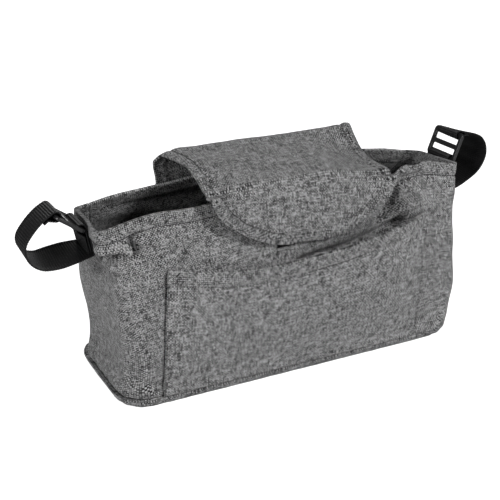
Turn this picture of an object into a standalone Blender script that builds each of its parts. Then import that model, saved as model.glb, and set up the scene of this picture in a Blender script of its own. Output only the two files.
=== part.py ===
"""Stroller organizer: a soft open-topped bag with a front pocket, a closing flap and two webbing
strap loops with ladder buckles.

Metres, +Z up. The origin is the centre of the underside, +X runs along the bag and -Y is its front.
Sections of the bag are rounded rectangles that change smoothly from the base to the rim.
"""

import math

import bmesh
import bpy
from mathutils import Vector

# Cloth and clearances
CLOTH = 0.0016
HEM = 0.0028
HEM_DEPTH = 0.009
HEM_STEP = 0.0008
SEAM_GAP = 0.0003
CURVE_GAP = 0.0005

# Base tray and the board that stiffens it
BASE_LENGTH = 0.330
BASE_DEPTH = 0.120
BASE_CORNER = 0.025
BASE_EDGE = 0.002
STRIP_HEIGHT = 0.008
BOARD = 0.002
BOARD_INSET = 0.0035

# Rim of the bag
RIM_SPREAD = 0.015
RIM_SWAY = -0.0095
RIM_DEPTH = 0.064
RIM_CORNER = 0.007
CORNER_POWER = 0.6
# Heights of the slack rim at eighths of its length, from left to right
FRONT_RIM = (0.1645, 0.1718, 0.1716, 0.1765, 0.1800, 0.1790, 0.1720, 0.1775, 0.1710)
BACK_RIM = (0.1650, 0.1712, 0.1745, 0.1785, 0.1800, 0.1800, 0.1785, 0.1744, 0.1668)
BACK_SEAM_INSET = 0.006

# How the filled bag swells and leans between base and rim, at quarters of its height
LEFT_SWELL = (0.0, -0.0055, 0.0020, 0.0100)
RIGHT_SWELL = (0.0, 0.0115, -0.0015, -0.0065)
FRONT_SWELL = (0.0, 0.005, 0.007, 0.005)
BACK_LEAN = (0.0, 0.05, 0.14, 0.45)

# Front pocket, with the height of its slack mouth and how far the mouth stands open at eighths of
# its width, from left to right. Its left seam leans in towards its top.
POCKET_LEFT = -0.1325
POCKET_RIGHT = 0.122
POCKET_LEAN = 0.0055
POCKET_TOP = (0.1250, 0.1186, 0.1150, 0.1152, 0.1184, 0.1229, 0.1297, 0.1335, 0.1340)
POCKET_GAPE = (0.0, 0.001, 0.003, 0.006, 0.010, 0.0145, 0.0165, 0.012, 0.0)
GAPE_POWER = 1.4

# Flap, from its seam on the back panel over the opening and down the front. The lifts say how
# far its sides stand above (or sag below) the straight line from ridge to front bend, at quarters
# of that line. The right side has slid into the opening, and the tongue's right side hangs
# TONGUE_TILT lower than its middle.
FLAP_WIDTH = 0.175
FLAP_CENTRE = -0.0035
FLAP_BACK_WIDTH = 0.190
FLAP_BACK_CENTRE = -0.0105
FLAP_CLOTH = 0.0022
FLAP_SEAM = 0.015
FLAP_DROP = 0.0527
RIDGE_HEIGHT = 0.2005
RIDGE_Y = 0.010
RIDGE_ROUND = 0.005
RIDGE_DROOP = 0.005
DROOP_LENGTH = 0.022
FRONT_BEND = 0.1812
FLAP_LEFT_LIFT = (0.0, 0.0025, 0.0050, 0.0030, -0.0015)
FLAP_RIGHT_LIFT = (0.0, -0.0110, -0.0138, -0.0112, -0.0078)
SLACK_START = 0.020
TONGUE_POWER = 1.9
TONGUE_TILT = 0.004
TIP_WIDTH = 0.030

# Hook and loop patches that close the flap
PATCH_WIDTH = 0.050
PATCH_HEIGHT = 0.025
PATCH_SHOW = 0.0025
PATCH_CLOTH = 0.0012

# Webbing, its sewn ends and the ladder buckles
WEBBING = 0.0015
WEBBING_WIDTH = 0.030
STRAP_Y = -0.026
SEWN_DEPTH = 0.027
SEWN_LENGTH = 0.018
SEWN_BEND = 0.003
TAB_DEPTH = 0.0225
TAIL_LENGTH = 0.022
BUCKLE_SLOT_LENGTH = 0.0325
BUCKLE_SLOT = 0.0072
BUCKLE_BAR = 0.0045
BUCKLE_RAIL = 0.004
BUCKLE_THICK = 0.003
BUCKLE_ROUND = 0.004
BUCKLE_EDGE = 0.0006
WRAP_CLEARANCE = 0.0004

# Left and right differ only in how the loose loops lie: points are (outward, up) from the place
# where the webbing leaves the end panel, and the buckle is placed from the end of the rim.
LEFT_LOOP = (
    (0.0175, -0.0035), (0.0300, -0.0056), (0.0430, -0.0048), (0.0520, 0.0008),
    (0.0564, 0.0090), (0.0555, 0.0185), (0.0485, 0.0282), (0.0400, 0.0362),
)
LEFT_BUCKLE_FOOT = (0.0068, -0.0030)
LEFT_BUCKLE_ANGLE = math.radians(35.0)
RIGHT_LOOP = (
    (0.0150, -0.0020), (0.0300, 0.0040), (0.0420, 0.0120), (0.0485, 0.0230),
    (0.0485, 0.0340), (0.0435, 0.0425), (0.0350, 0.0475),
)
RIGHT_BUCKLE_FOOT = (0.0047, -0.0001)
RIGHT_BUCKLE_ANGLE = math.radians(69.0)

# How finely the sheets are divided
LONG_STEPS = 18
END_STEPS = 4
CORNER_STEPS = 5
HEIGHT_STEPS = 8
POCKET_STEPS = (16, 10)
FLAP_STEPS = 16
FLAP_ROWS_EACH = 2
PATCH_STEPS = 4
STRAP_STEPS_EACH = 4
WRAP_STEPS = 12

FOOT_HEIGHT = STRIP_HEIGHT + CURVE_GAP
RIM_LENGTH = BASE_LENGTH + RIM_SPREAD
BASE_FRONT = -BASE_DEPTH / 2
BASE_BACK = BASE_DEPTH / 2


def clear_scene():
    for item in list(bpy.data.objects):
        bpy.data.objects.remove(item, do_unlink=True)


def new_collection(name):
    collection = bpy.data.collections.new(name)
    bpy.context.scene.collection.children.link(collection)
    return collection


def new_material(name, color, roughness, metallic=0.0):
    material = bpy.data.materials.new(name)
    material.use_nodes = True
    shader = material.node_tree.nodes["Principled BSDF"]
    shader.inputs["Base Color"].default_value = (*color, 1.0)
    shader.inputs["Roughness"].default_value = roughness
    shader.inputs["Metallic"].default_value = metallic
    return material


def new_object(name, bm, collection, material=None):
    mesh = bpy.data.meshes.new(name)
    bm.to_mesh(mesh)
    bm.free()
    mesh.shade_smooth()
    thing = bpy.data.objects.new(name, mesh)
    collection.objects.link(thing)
    if material:
        mesh.materials.append(material)
    return thing


def smooth_value(stations, at):
    """Catmull-Rom value at 0..1 through evenly spaced stations."""
    last = len(stations) - 1
    place = min(max(at, 0.0), 1.0) * last
    index = min(int(place), last - 1)
    part = place - index
    before = stations[max(index - 1, 0)]
    first = stations[index]
    second = stations[index + 1]
    after = stations[min(index + 2, last)]
    return 0.5 * (
        2 * first
        + (second - before) * part
        + (2 * before - 5 * first + 4 * second - after) * part ** 2
        + (3 * first - before - 3 * second + after) * part ** 3
    )


def smooth_path(points, steps):
    """Points of a smooth curve through the given ones, with some steps from each to the next."""
    last = len(points) - 1
    path = []
    for index in range(last):
        for step in range(steps):
            at = (index + step / steps) / last
            path.append(Vector([smooth_value([p[axis] for p in points], at) for axis in (0, 1)]))
    path.append(Vector(points[-1]))
    return path


def sheet(name, place, columns, rows, thickness, outward, collection, material, hem_rows=()):
    """A cloth panel: a grid laid on place(column, row), then thickened. outward is 1 where the
    laid surface is the inner face, -1 where it is the outer face and 0 for a middle surface."""
    bm = bmesh.new()
    bmesh.ops.create_grid(bm, x_segments=columns, y_segments=rows, size=0.5)
    layer = bm.verts.layers.deform.verify()
    for vert in bm.verts:
        column = round((vert.co.x + 0.5) * columns)
        row = round((vert.co.y + 0.5) * rows)
        vert.co = place(column, row)
        vert[layer][0] = 1.0 if row in hem_rows else 0.0
    panel = new_object(name, bm, collection, material)
    solid = panel.modifiers.new("Thickness", "SOLIDIFY")
    solid.offset = outward
    solid.use_even_offset = True
    solid.thickness = thickness
    if hem_rows:
        panel.vertex_groups.new(name="hem")
        solid.thickness = HEM
        solid.vertex_group = "hem"
        solid.thickness_vertex_group = thickness / HEM
    return panel


def rim_height(x, rim):
    return smooth_value(rim, (x - RIM_SWAY) / RIM_LENGTH + 0.5)


def end_rim_height(side):
    """Height of the rim at the middle of an end."""
    end = 0 if side < 0 else -1
    return (FRONT_RIM[end] + BACK_RIM[end]) / 2


def height_share(z, top):
    return (z - FOOT_HEIGHT) / (top - FOOT_HEIGHT)


def front_y(share):
    return BASE_FRONT - smooth_value((*FRONT_SWELL, 0.0), share)


def back_y(share):
    return BASE_BACK - (BASE_DEPTH - RIM_DEPTH) * smooth_value((*BACK_LEAN, 1.0), share)


def end_x(side, share):
    swell = LEFT_SWELL if side < 0 else RIGHT_SWELL
    rim = (RIM_LENGTH - BASE_LENGTH) / 2 + side * RIM_SWAY
    return side * (BASE_LENGTH / 2 + smooth_value((*swell, rim), share))


def section_point(corner_from, corner_to, along, angle, share):
    """A point of the section at a share of the height. Corners are (side, face) signs."""
    radius = BASE_CORNER + (RIM_CORNER - BASE_CORNER) * share ** CORNER_POWER
    centres = []
    for side, face in (corner_from, corner_to):
        wall = back_y(share) if face > 0 else front_y(share)
        centres.append(Vector((end_x(side, share) - side * radius, wall - face * radius)))
    centre = centres[0].lerp(centres[1], along)
    return centre + radius * Vector((math.cos(angle), math.sin(angle)))


def wall_point(stop, share):
    corner_from, corner_to, along, angle = stop
    flat = section_point(corner_from, corner_to, along, angle, share)
    behind = (flat.y - front_y(share)) / (back_y(share) - front_y(share))
    front_top = rim_height(flat.x, FRONT_RIM)
    top = front_top + (rim_height(flat.x, BACK_RIM) - front_top) * behind
    return Vector((flat.x, flat.y, FOOT_HEIGHT + share * (top - FOOT_HEIGHT)))


LEFT_BACK = (-1, 1)
LEFT_FRONT = (-1, -1)
RIGHT_FRONT = (1, -1)
RIGHT_BACK = (1, 1)


def straight_stops(corner_from, corner_to, angle, count):
    return [(corner_from, corner_to, step / count, angle) for step in range(count + 1)]


def corner_stops(corner, start, end):
    swing = (end - start) / CORNER_STEPS
    turns = [start + swing * step for step in range(1, CORNER_STEPS)]
    return [(corner, corner, 0.0, turn) for turn in turns]


def seam_stop(corner_from, corner_to, distance):
    along = distance / (BASE_LENGTH - 2 * BASE_CORNER)
    return (corner_from, corner_to, along, math.pi / 2)


def wall_rows():
    """Shares of the height: even rows, then a close pair where the hem begins."""
    tallest = max(FRONT_RIM) - FOOT_HEIGHT
    hem = 1.0 - HEM_DEPTH / tallest
    step = HEM_STEP / tallest
    even = [index / HEIGHT_STEPS for index in range(HEIGHT_STEPS)]
    return even + [hem - step, hem, 1.0]


def make_walls(collection, material):
    """The front and both ends are one wrapped panel; the back is a second one."""
    quarter = math.pi / 2
    left_seam = BACK_SEAM_INSET - SEAM_GAP / 2
    body = [seam_stop(LEFT_BACK, RIGHT_BACK, left_seam)]
    body += [(LEFT_BACK, LEFT_BACK, 0.0, quarter)]
    body += corner_stops(LEFT_BACK, quarter, 2 * quarter)
    body += straight_stops(LEFT_BACK, LEFT_FRONT, 2 * quarter, END_STEPS)
    body += corner_stops(LEFT_FRONT, 2 * quarter, 3 * quarter)
    body += straight_stops(LEFT_FRONT, RIGHT_FRONT, 3 * quarter, LONG_STEPS)
    body += corner_stops(RIGHT_FRONT, 3 * quarter, 4 * quarter)
    body += straight_stops(RIGHT_FRONT, RIGHT_BACK, 4 * quarter, END_STEPS)
    body += corner_stops(RIGHT_BACK, 4 * quarter, 5 * quarter)
    body += [(RIGHT_BACK, RIGHT_BACK, 0.0, quarter)]
    body += [seam_stop(RIGHT_BACK, LEFT_BACK, left_seam)]
    run = BASE_LENGTH - 2 * BASE_CORNER
    inset = (BACK_SEAM_INSET + SEAM_GAP / 2) / run
    back = []
    for step in range(LONG_STEPS + 1):
        along = inset + (1.0 - 2 * inset) * step / LONG_STEPS
        back.append((RIGHT_BACK, LEFT_BACK, along, quarter))
    rows = wall_rows()
    hem_rows = (len(rows) - 2, len(rows) - 1)
    for name, stops in (("body_panel", body), ("back_panel", back)):
        sheet(
            name,
            lambda column, row, stops=stops: wall_point(stops[column], rows[row]),
            len(stops) - 1, len(rows) - 1, CLOTH, -1, collection, material, hem_rows,
        )


def rounded_box(length, depth, height, corner, edge, open_top):
    """A box on z = 0 with rounded upright edges, a rounded lower edge and an open or shut top."""
    bm = bmesh.new()
    bmesh.ops.create_cube(bm, size=1.0)
    bmesh.ops.scale(bm, vec=(length, depth, height), verts=bm.verts)
    bmesh.ops.translate(bm, vec=(0, 0, height / 2), verts=bm.verts)
    uprights = [e for e in bm.edges if abs(e.verts[0].co.z - e.verts[1].co.z) > height / 2]
    bmesh.ops.bevel(bm, geom=uprights, offset=corner, segments=8, profile=0.5, affect="EDGES")
    if open_top:
        top = [f for f in bm.faces if f.normal.z > 0.9]
        bmesh.ops.delete(bm, geom=top, context="FACES")
    low = [e for e in bm.edges if max(v.co.z for v in e.verts) < height / 4]
    if edge:
        bmesh.ops.bevel(bm, geom=low, offset=edge, segments=2, profile=0.5, affect="EDGES")
    return bm


def make_base(collection, cloth, board):
    bm = rounded_box(BASE_LENGTH, BASE_DEPTH, STRIP_HEIGHT, BASE_CORNER, BASE_EDGE, True)
    tray = new_object("base_panel", bm, collection, cloth)
    solid = tray.modifiers.new("Thickness", "SOLIDIFY")
    solid.thickness = CLOTH
    solid.offset = -1
    solid.use_even_offset = True
    inset = 2 * (CLOTH + BOARD_INSET)
    corner = BASE_CORNER - CLOTH - BOARD_INSET
    bm = rounded_box(BASE_LENGTH - inset, BASE_DEPTH - inset, BOARD, corner, 0.0, False)
    plate = new_object("base_board", bm, collection, board)
    plate.location.z = CLOTH + SEAM_GAP


def make_pocket(collection, material):
    columns, rows = POCKET_STEPS

    def place(column, row):
        across = column / columns
        up = row / rows
        x = POCKET_LEFT + (POCKET_RIGHT - POCKET_LEFT) * across
        x += POCKET_LEAN * up ** 2 * (1 - across)
        top = smooth_value(POCKET_TOP, across)
        z = FOOT_HEIGHT + SEAM_GAP + (top - FOOT_HEIGHT - SEAM_GAP) * up
        belly = max(smooth_value(POCKET_GAPE, across), 0.0) * up ** GAPE_POWER
        y = front_y(height_share(z, rim_height(x, FRONT_RIM))) - CURVE_GAP - belly
        return Vector((x, y, z))

    hem = (rows - 1, rows)
    sheet("front_pocket", place, columns, rows, CLOTH, 1, collection, material, hem)


def flap_standoff():
    """The flap's inner face lies this far in front of the front panel, over both patches."""
    return 2 * PATCH_CLOTH + 3 * CURVE_GAP


def ease(value):
    """A smooth step from 0 to 1."""
    value = min(max(value, 0.0), 1.0)
    return value * value * (3 - 2 * value)


def flap_lift(x, part):
    """How far the flap's side is above the straight line, part of the way from ridge to bend."""
    away = (abs(x - FLAP_CENTRE) - SLACK_START) / (FLAP_WIDTH / 2 - SLACK_START)
    lifts = FLAP_LEFT_LIFT if x < FLAP_CENTRE else FLAP_RIGHT_LIFT
    return ease(away) * smooth_value(lifts, part)


def flap_line(x):
    """The flap's inner face in the plane across the bag at x, from its seam to its tip."""
    back_top = rim_height(x, BACK_RIM)
    front_top = rim_height(x, FRONT_RIM)
    bend = FRONT_BEND + flap_lift(x, 1.0)
    corner = FLAP_BACK_CENTRE - FLAP_BACK_WIDTH / 2
    line = []
    for below in (FLAP_SEAM, FLAP_SEAM / 2, HEM_STEP):
        share = height_share(back_top - below, back_top)
        lean = (back_y(share) - back_y(share - 0.02)) / (0.02 * (back_top - FOOT_HEIGHT))
        across = Vector((1.0, -lean)).normalized() * 2 * CURVE_GAP
        line.append((back_y(share) + across.x, back_top - below + across.y))
    ridge = RIDGE_HEIGHT - RIDGE_DROOP * ease(1.0 - (x - corner) / DROOP_LENGTH)
    line.append((RIDGE_Y, (back_top + ridge) / 2 + RIDGE_ROUND / 4))
    line.append((RIDGE_Y, ridge - RIDGE_ROUND))
    line.append((RIDGE_Y - RIDGE_ROUND, ridge))
    rim_y = front_y(1.0)
    for part in (0.15, 0.3, 0.5, 0.75):
        y = RIDGE_Y - RIDGE_ROUND + (rim_y - RIDGE_Y + RIDGE_ROUND) * part
        line.append((y, ridge + (FRONT_BEND - ridge) * part + flap_lift(x, part)))
    line.append((rim_y + HEM, bend + 3 * CURVE_GAP))
    line.append((rim_y - CURVE_GAP, bend + 2 * CURVE_GAP))
    line.append((rim_y - 5 * CURVE_GAP, bend - 5 * CURVE_GAP))
    tip = FRONT_BEND - FLAP_DROP - TONGUE_TILT * (x - FLAP_CENTRE) / (FLAP_WIDTH / 2)
    for part in (0.25, 0.5, 0.75, 1.0):
        z = bend + (tip - bend) * part
        line.append((front_y(height_share(z, front_top)) - flap_standoff(), z))
    return line


def make_flap(collection, material):
    """A sheet with a straight back and a rounded tongue in front."""
    steps = FLAP_ROWS_EACH
    spans = len(flap_line(0.0)) - 1
    rows = spans * steps
    back_row = 4 * steps
    tongue_row = (spans - 4) * steps
    columns = FLAP_STEPS
    cut = (1.0 - (TIP_WIDTH / FLAP_WIDTH) ** TONGUE_POWER) ** (1.0 / TONGUE_POWER)

    def place(column, row):
        down = max(row - tongue_row, 0) / (rows - tongue_row) * cut
        forward = 1 - (1 - min(max(row - back_row, 0) / (tongue_row - back_row), 1.0)) ** 3
        half = (FLAP_BACK_WIDTH + (FLAP_WIDTH - FLAP_BACK_WIDTH) * forward) / 2
        half *= (1.0 - down ** TONGUE_POWER) ** (1.0 / TONGUE_POWER)
        centre = FLAP_BACK_CENTRE + (FLAP_CENTRE - FLAP_BACK_CENTRE) * forward
        x = centre + half * (1 - 2 * column / columns)
        y, z = smooth_path(flap_line(x), steps)[row]
        return Vector((x, y, z))

    sheet("flap", place, columns, rows, FLAP_CLOTH, 1, collection, material)


def make_patches(collection, material):
    """The loop patch is sewn to the front panel, its foot just below the flap's tip, and the
    hook patch is sewn under the flap."""
    columns = rows = PATCH_STEPS
    foot = FRONT_BEND - FLAP_DROP - PATCH_SHOW
    for name, rise in (("front_loop_patch", 0), ("flap_hook_patch", 1)):
        stand = CURVE_GAP + rise * (PATCH_CLOTH + CURVE_GAP)
        lift = rise * HEM_DEPTH

        def place(column, row, stand=stand, lift=lift):
            x = FLAP_CENTRE + PATCH_WIDTH * (column / columns - 0.5)
            z = foot + lift + PATCH_HEIGHT * row / rows
            y = front_y(height_share(z, rim_height(x, FRONT_RIM))) - stand
            return Vector((x, y, z))

        sheet(name, place, columns, rows, PATCH_CLOTH, 1, collection, material)


def face_point(side, z, off):
    """A point off the end panel's outer face, as (distance from the middle, height)."""
    top = end_rim_height(side)
    share = height_share(z, top)
    here = side * end_x(side, share)
    above = side * end_x(side, share + 0.02)
    rise = 0.02 * (top - FOOT_HEIGHT)
    normal = Vector((rise, here - above)).normalized()
    return Vector((here, z)) + normal * off


def turn_about(centre, radius, start, end, way):
    """A belt line from start round a bar and away to end. way is 1 anticlockwise, -1 clockwise."""
    def touch(point, leaving):
        arm = point - centre
        swing = math.acos(min(radius / arm.length, 1.0))
        return math.atan2(arm.y, arm.x) + (-way if leaving else way) * swing

    first = touch(start, False)
    last = touch(end, True)
    while way * (last - first) < 0:
        last += way * 2 * math.pi
    swing = (last - first) / WRAP_STEPS
    turns = [first + swing * step for step in range(WRAP_STEPS + 1)]
    return [centre + radius * Vector((math.cos(turn), math.sin(turn))) for turn in turns]


def ribbon(name, path, side, width, thickness, collection, material):
    """Webbing along a path of (outward, height) points, its width along Y."""
    across = 2

    def place(column, row):
        point = path[column]
        y = STRAP_Y + width * (row / across - 0.5) * side
        return Vector((side * point.x, y, point.y))

    sheet(name, place, len(path) - 1, across, thickness, 0, collection, material)


def make_strap_set(side, label, loop, foot, angle, collection, cutters, webbing, plastic):
    """One end's webbing strap, buckle tab and ladder buckle."""
    pitch = BUCKLE_BAR + BUCKLE_SLOT
    up_plate = Vector((math.cos(angle), math.sin(angle)))
    rim_top = end_rim_height(side)
    sewn_foot = rim_top - SEWN_DEPTH
    tab_foot = rim_top - TAB_DEPTH
    rim_corner = face_point(side, rim_top, 0.0)
    low_bar = rim_corner + Vector(foot)
    middle = low_bar + up_plate * pitch
    high_bar = low_bar + up_plate * 2 * pitch
    bar_reach = math.hypot(BUCKLE_BAR, BUCKLE_THICK) / 2
    wrap = bar_reach + WRAP_CLEARANCE + WEBBING / 2
    first_ply = SEAM_GAP + CURVE_GAP + WEBBING / 2
    ply = WEBBING + CURVE_GAP

    exit_point = face_point(side, sewn_foot, 0.0)
    sewn = [face_point(side, sewn_foot + SEWN_BEND + SEWN_LENGTH * part, first_ply)
            for part in (1.0, 0.5, 0.0)]
    bend = [exit_point + Vector((first_ply + SEWN_BEND * (1 - math.cos(turn)),
                                 SEWN_BEND * (1 - math.sin(turn))))
            for turn in (math.pi / 8, math.pi / 4, 3 * math.pi / 8)]
    free = [exit_point + Vector(point) for point in loop]
    tail_side = high_bar + Vector((2.5 * wrap, -wrap))
    wrapped = turn_about(high_bar, wrap, free[-1], tail_side, 1)
    line = smooth_path(bend + free + [wrapped[0]], STRAP_STEPS_EACH)
    tail = []
    distance = 0.0
    for index in range(len(line) - 2, 0, -1):
        distance += (line[index + 1] - line[index]).length
        if distance > TAIL_LENGTH:
            break
        run = (line[index - 1] - line[index + 1]).normalized()
        inner = Vector((run.y, -run.x))
        if distance > 1.6 * wrap:
            tail.append(line[index] + inner * 1.3 * ply)
    path = sewn + line + wrapped[1:] + tail
    ribbon(label + "_strap", path, side, WEBBING_WIDTH, WEBBING, collection, webbing)

    inner_ply = first_ply + ply
    outer_ply = inner_ply + ply
    up_ply = [face_point(side, tab_foot + TAB_DEPTH * part, inner_ply) for part in (0.0, 0.35, 0.7)]
    down_ply = [face_point(side, tab_foot + TAB_DEPTH * part, outer_ply)
                for part in (0.6, 0.35, 0.0)]
    around = turn_about(low_bar, wrap, up_ply[-1], down_ply[0], -1)
    ribbon(label + "_buckle_tab", up_ply + around + down_ply, side, WEBBING_WIDTH, WEBBING,
           collection, webbing)

    width = BUCKLE_SLOT_LENGTH + 2 * BUCKLE_RAIL
    height = 2 * pitch + BUCKLE_BAR
    bm = bmesh.new()
    bmesh.ops.create_cube(bm, size=1.0)
    bmesh.ops.scale(bm, vec=(height, width, BUCKLE_THICK), verts=bm.verts)
    uprights = [e for e in bm.edges if abs(e.verts[0].co.z - e.verts[1].co.z) > BUCKLE_THICK / 2]
    bmesh.ops.bevel(bm, geom=uprights, offset=BUCKLE_ROUND, segments=5, profile=0.5,
                    affect="EDGES")
    buckle = new_object(label + "_buckle", bm, collection, plastic)
    for number, shift in ((1, -pitch / 2), (2, pitch / 2)):
        slot = bmesh.new()
        bmesh.ops.create_cube(slot, size=1.0)
        size = (BUCKLE_SLOT, BUCKLE_SLOT_LENGTH, 4 * BUCKLE_THICK)
        bmesh.ops.scale(slot, vec=size, verts=slot.verts)
        bmesh.ops.translate(slot, vec=(shift, 0, 0), verts=slot.verts)
        cutter = new_object(label + "_slot_cutter_" + str(number), slot, cutters)
        cutter.hide_render = True
        cutter.display_type = "WIRE"
        cutter.parent = buckle
        cut = buckle.modifiers.new("Slot", "BOOLEAN")
        cut.operation = "DIFFERENCE"
        cut.solver = "EXACT"
        cut.object = cutter
    rounding = buckle.modifiers.new("Edges", "BEVEL")
    rounding.width = BUCKLE_EDGE
    rounding.segments = 1
    rounding.limit_method = "ANGLE"
    rounding.angle_limit = math.radians(60)
    buckle.location = (side * middle.x, STRAP_Y, middle.y)
    buckle.rotation_euler = (0.0, -side * angle + (math.pi if side < 0 else 0.0), 0.0)


clear_scene()
parts = new_collection("stroller_organizer")
cutters = new_collection("cutters")
heather = new_material("grey_heather_cloth", (0.19, 0.19, 0.19), 0.95)
board_plastic = new_material("board_plastic", (0.05, 0.05, 0.05), 0.6)
black_webbing = new_material("black_webbing", (0.012, 0.012, 0.013), 0.8)
black_plastic = new_material("black_plastic", (0.02, 0.02, 0.02), 0.4)
black_hook = new_material("hook_and_loop", (0.006, 0.006, 0.006), 0.95)

make_base(parts, heather, board_plastic)
make_walls(parts, heather)
make_pocket(parts, heather)
make_flap(parts, heather)
make_patches(parts, black_hook)
make_strap_set(-1, "left", LEFT_LOOP, LEFT_BUCKLE_FOOT, LEFT_BUCKLE_ANGLE,
               parts, cutters, black_webbing, black_plastic)
make_strap_set(1, "right", RIGHT_LOOP, RIGHT_BUCKLE_FOOT, RIGHT_BUCKLE_ANGLE,
               parts, cutters, black_webbing, black_plastic)
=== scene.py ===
"""How a stroller organizer looks: grey heather cloth with sewn hems, a front pocket, a flap that
closes over the opening, and black webbing loops with ladder buckles at both ends."""

import bisect
import math

import bmesh
import bpy
from mathutils import Matrix, Vector, noise
from mathutils.bvhtree import BVHTree
from mathutils.kdtree import KDTree


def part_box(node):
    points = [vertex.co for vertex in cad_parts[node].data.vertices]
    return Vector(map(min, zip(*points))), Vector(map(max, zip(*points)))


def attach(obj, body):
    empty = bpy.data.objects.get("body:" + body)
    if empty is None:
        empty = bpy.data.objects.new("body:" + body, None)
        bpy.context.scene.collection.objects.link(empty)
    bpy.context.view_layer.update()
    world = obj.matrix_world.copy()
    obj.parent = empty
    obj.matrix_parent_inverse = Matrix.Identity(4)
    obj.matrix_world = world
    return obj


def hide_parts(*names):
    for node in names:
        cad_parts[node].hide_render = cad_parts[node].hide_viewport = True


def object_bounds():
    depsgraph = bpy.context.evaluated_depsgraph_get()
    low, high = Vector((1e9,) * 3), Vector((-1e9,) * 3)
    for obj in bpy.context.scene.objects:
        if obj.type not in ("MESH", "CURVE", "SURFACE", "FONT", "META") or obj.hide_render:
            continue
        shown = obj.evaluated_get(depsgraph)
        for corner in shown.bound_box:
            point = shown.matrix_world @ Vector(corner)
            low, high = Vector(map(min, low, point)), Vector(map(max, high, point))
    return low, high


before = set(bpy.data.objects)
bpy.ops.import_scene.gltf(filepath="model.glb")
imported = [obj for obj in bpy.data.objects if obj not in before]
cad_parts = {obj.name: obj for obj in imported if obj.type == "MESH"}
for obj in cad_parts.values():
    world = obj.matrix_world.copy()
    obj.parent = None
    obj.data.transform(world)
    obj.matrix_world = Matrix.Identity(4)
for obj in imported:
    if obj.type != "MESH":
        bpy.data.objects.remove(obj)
cad_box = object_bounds()

# The table it was photographed on: a white surround, a soft lamp in front on either side, a weak
# one behind, and the camera a little above the bag, looking at its front from the left.
LENS = 75.0
SENSOR_WIDTH = 36.0
NEAREST_SEEN = 0.05
CAMERA_PLACE = Vector((-0.4202, -0.7761, 0.4515))
CAMERA_TURN = math.radians(27.3)
CAMERA_DOWN = math.radians(22.0)
FLOOR_HALF = 9.0
FLOOR_PLACE = -0.0003
WHITE = (1.0, 1.0, 1.0, 1.0)
FLOOR_WHITE = 0.82
FLOOR_GLOW = 0.86
SURROUND_LIGHT = 0.16
LAMP_SIZE = 0.6
LAMPS = (
    ("lamp_left", (-1.75, -0.75, 0.85), 18.0),
    ("lamp_right", (0.85, -1.60, 1.20), 28.0),
    ("lamp_behind", (0.4, 2.0, 1.0), 10.0),
)

scene = bpy.context.scene
scene.view_settings.view_transform = "Standard"


def in_scene(name, data):
    thing = bpy.data.objects.new(name, data)
    scene.collection.objects.link(thing)
    return thing


def object_of(name, bm):
    """A new object with the mesh that was built."""
    mesh = bpy.data.meshes.new(name)
    bm.to_mesh(mesh)
    bm.free()
    return in_scene(name, mesh)


def feed(tree, node, feeds):
    """Feeds a node's inputs, each given by its name or number, by sockets or with values."""
    for label, what in feeds.items():
        if isinstance(what, bpy.types.NodeSocket):
            tree.links.new(what, node.inputs[label])
        else:
            node.inputs[label].default_value = what
    return node


def node_after(tree, kind, *feeds, **settings):
    """A node with its first inputs fed in order."""
    node = tree.nodes.new(kind)
    for setting, choice in settings.items():
        setattr(node, setting, choice)
    return feed(tree, node, dict(enumerate(feeds)))


def sum_of(tree, operation, *feeds):
    return node_after(tree, "ShaderNodeMath", *feeds, operation=operation).outputs[0]


def ranged(tree, value, low, high, first=0.0, last=1.0):
    """The value, spread from first..last to low..high."""
    return node_after(tree, "ShaderNodeMapRange", value, first, last, low, high).outputs[0]


def new_finish(name, roughness, shine=None):
    """A material, its tree and its shader."""
    finish = bpy.data.materials.new(name)
    finish.use_nodes = True
    shader = finish.node_tree.nodes["Principled BSDF"]
    shader.inputs["Roughness"].default_value = roughness
    if shine is not None:
        shader.inputs["Specular IOR Level"].default_value = shine
    return finish, finish.node_tree, shader


lens = bpy.data.cameras.new("camera")
lens.lens = LENS
lens.sensor_width = SENSOR_WIDTH
lens.clip_start = NEAREST_SEEN
camera = in_scene("camera", lens)
camera.location = CAMERA_PLACE
camera.rotation_euler = (math.pi / 2 - CAMERA_DOWN, 0.0, -CAMERA_TURN)
scene.camera = camera

bag_middle = (cad_box[0] + cad_box[1]) / 2
for lamp_name, lamp_place, watts in LAMPS:
    light = bpy.data.lights.new(lamp_name, "AREA")
    light.shape = "DISK"
    light.size = LAMP_SIZE
    light.energy = watts
    lamp = in_scene(lamp_name, light)
    lamp.location = lamp_place
    lamp.rotation_euler = (bag_middle - Vector(lamp_place)).to_track_quat("-Z", "Y").to_euler()

# What the camera sees of the surround and the floor is white, whatever light falls on them.
world = bpy.data.worlds.new("surround")
world.use_nodes = True
scene.world = world
tree = world.node_tree
seen = node_after(tree, "ShaderNodeLightPath").outputs["Is Camera Ray"]
feed(tree, tree.nodes["Background"], {
    "Color": WHITE, "Strength": ranged(tree, seen, SURROUND_LIGHT, 1.0)})

floor_paint, tree, paint = new_finish("floor_paint", 1.0, 0.0)
seen = node_after(tree, "ShaderNodeLightPath").outputs["Is Camera Ray"]
feed(tree, paint, {
    "Base Color": (FLOOR_WHITE, FLOOR_WHITE, FLOOR_WHITE, 1.0),
    "Emission Color": WHITE,
    "Emission Strength": sum_of(tree, "MULTIPLY", seen, FLOOR_GLOW),
})
bm = bmesh.new()
bmesh.ops.create_grid(bm, x_segments=1, y_segments=1, size=FLOOR_HALF)
floor = object_of("floor", bm)
floor.location.z = FLOOR_PLACE
floor.data.materials.append(floor_paint)

MM = 0.001

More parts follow.
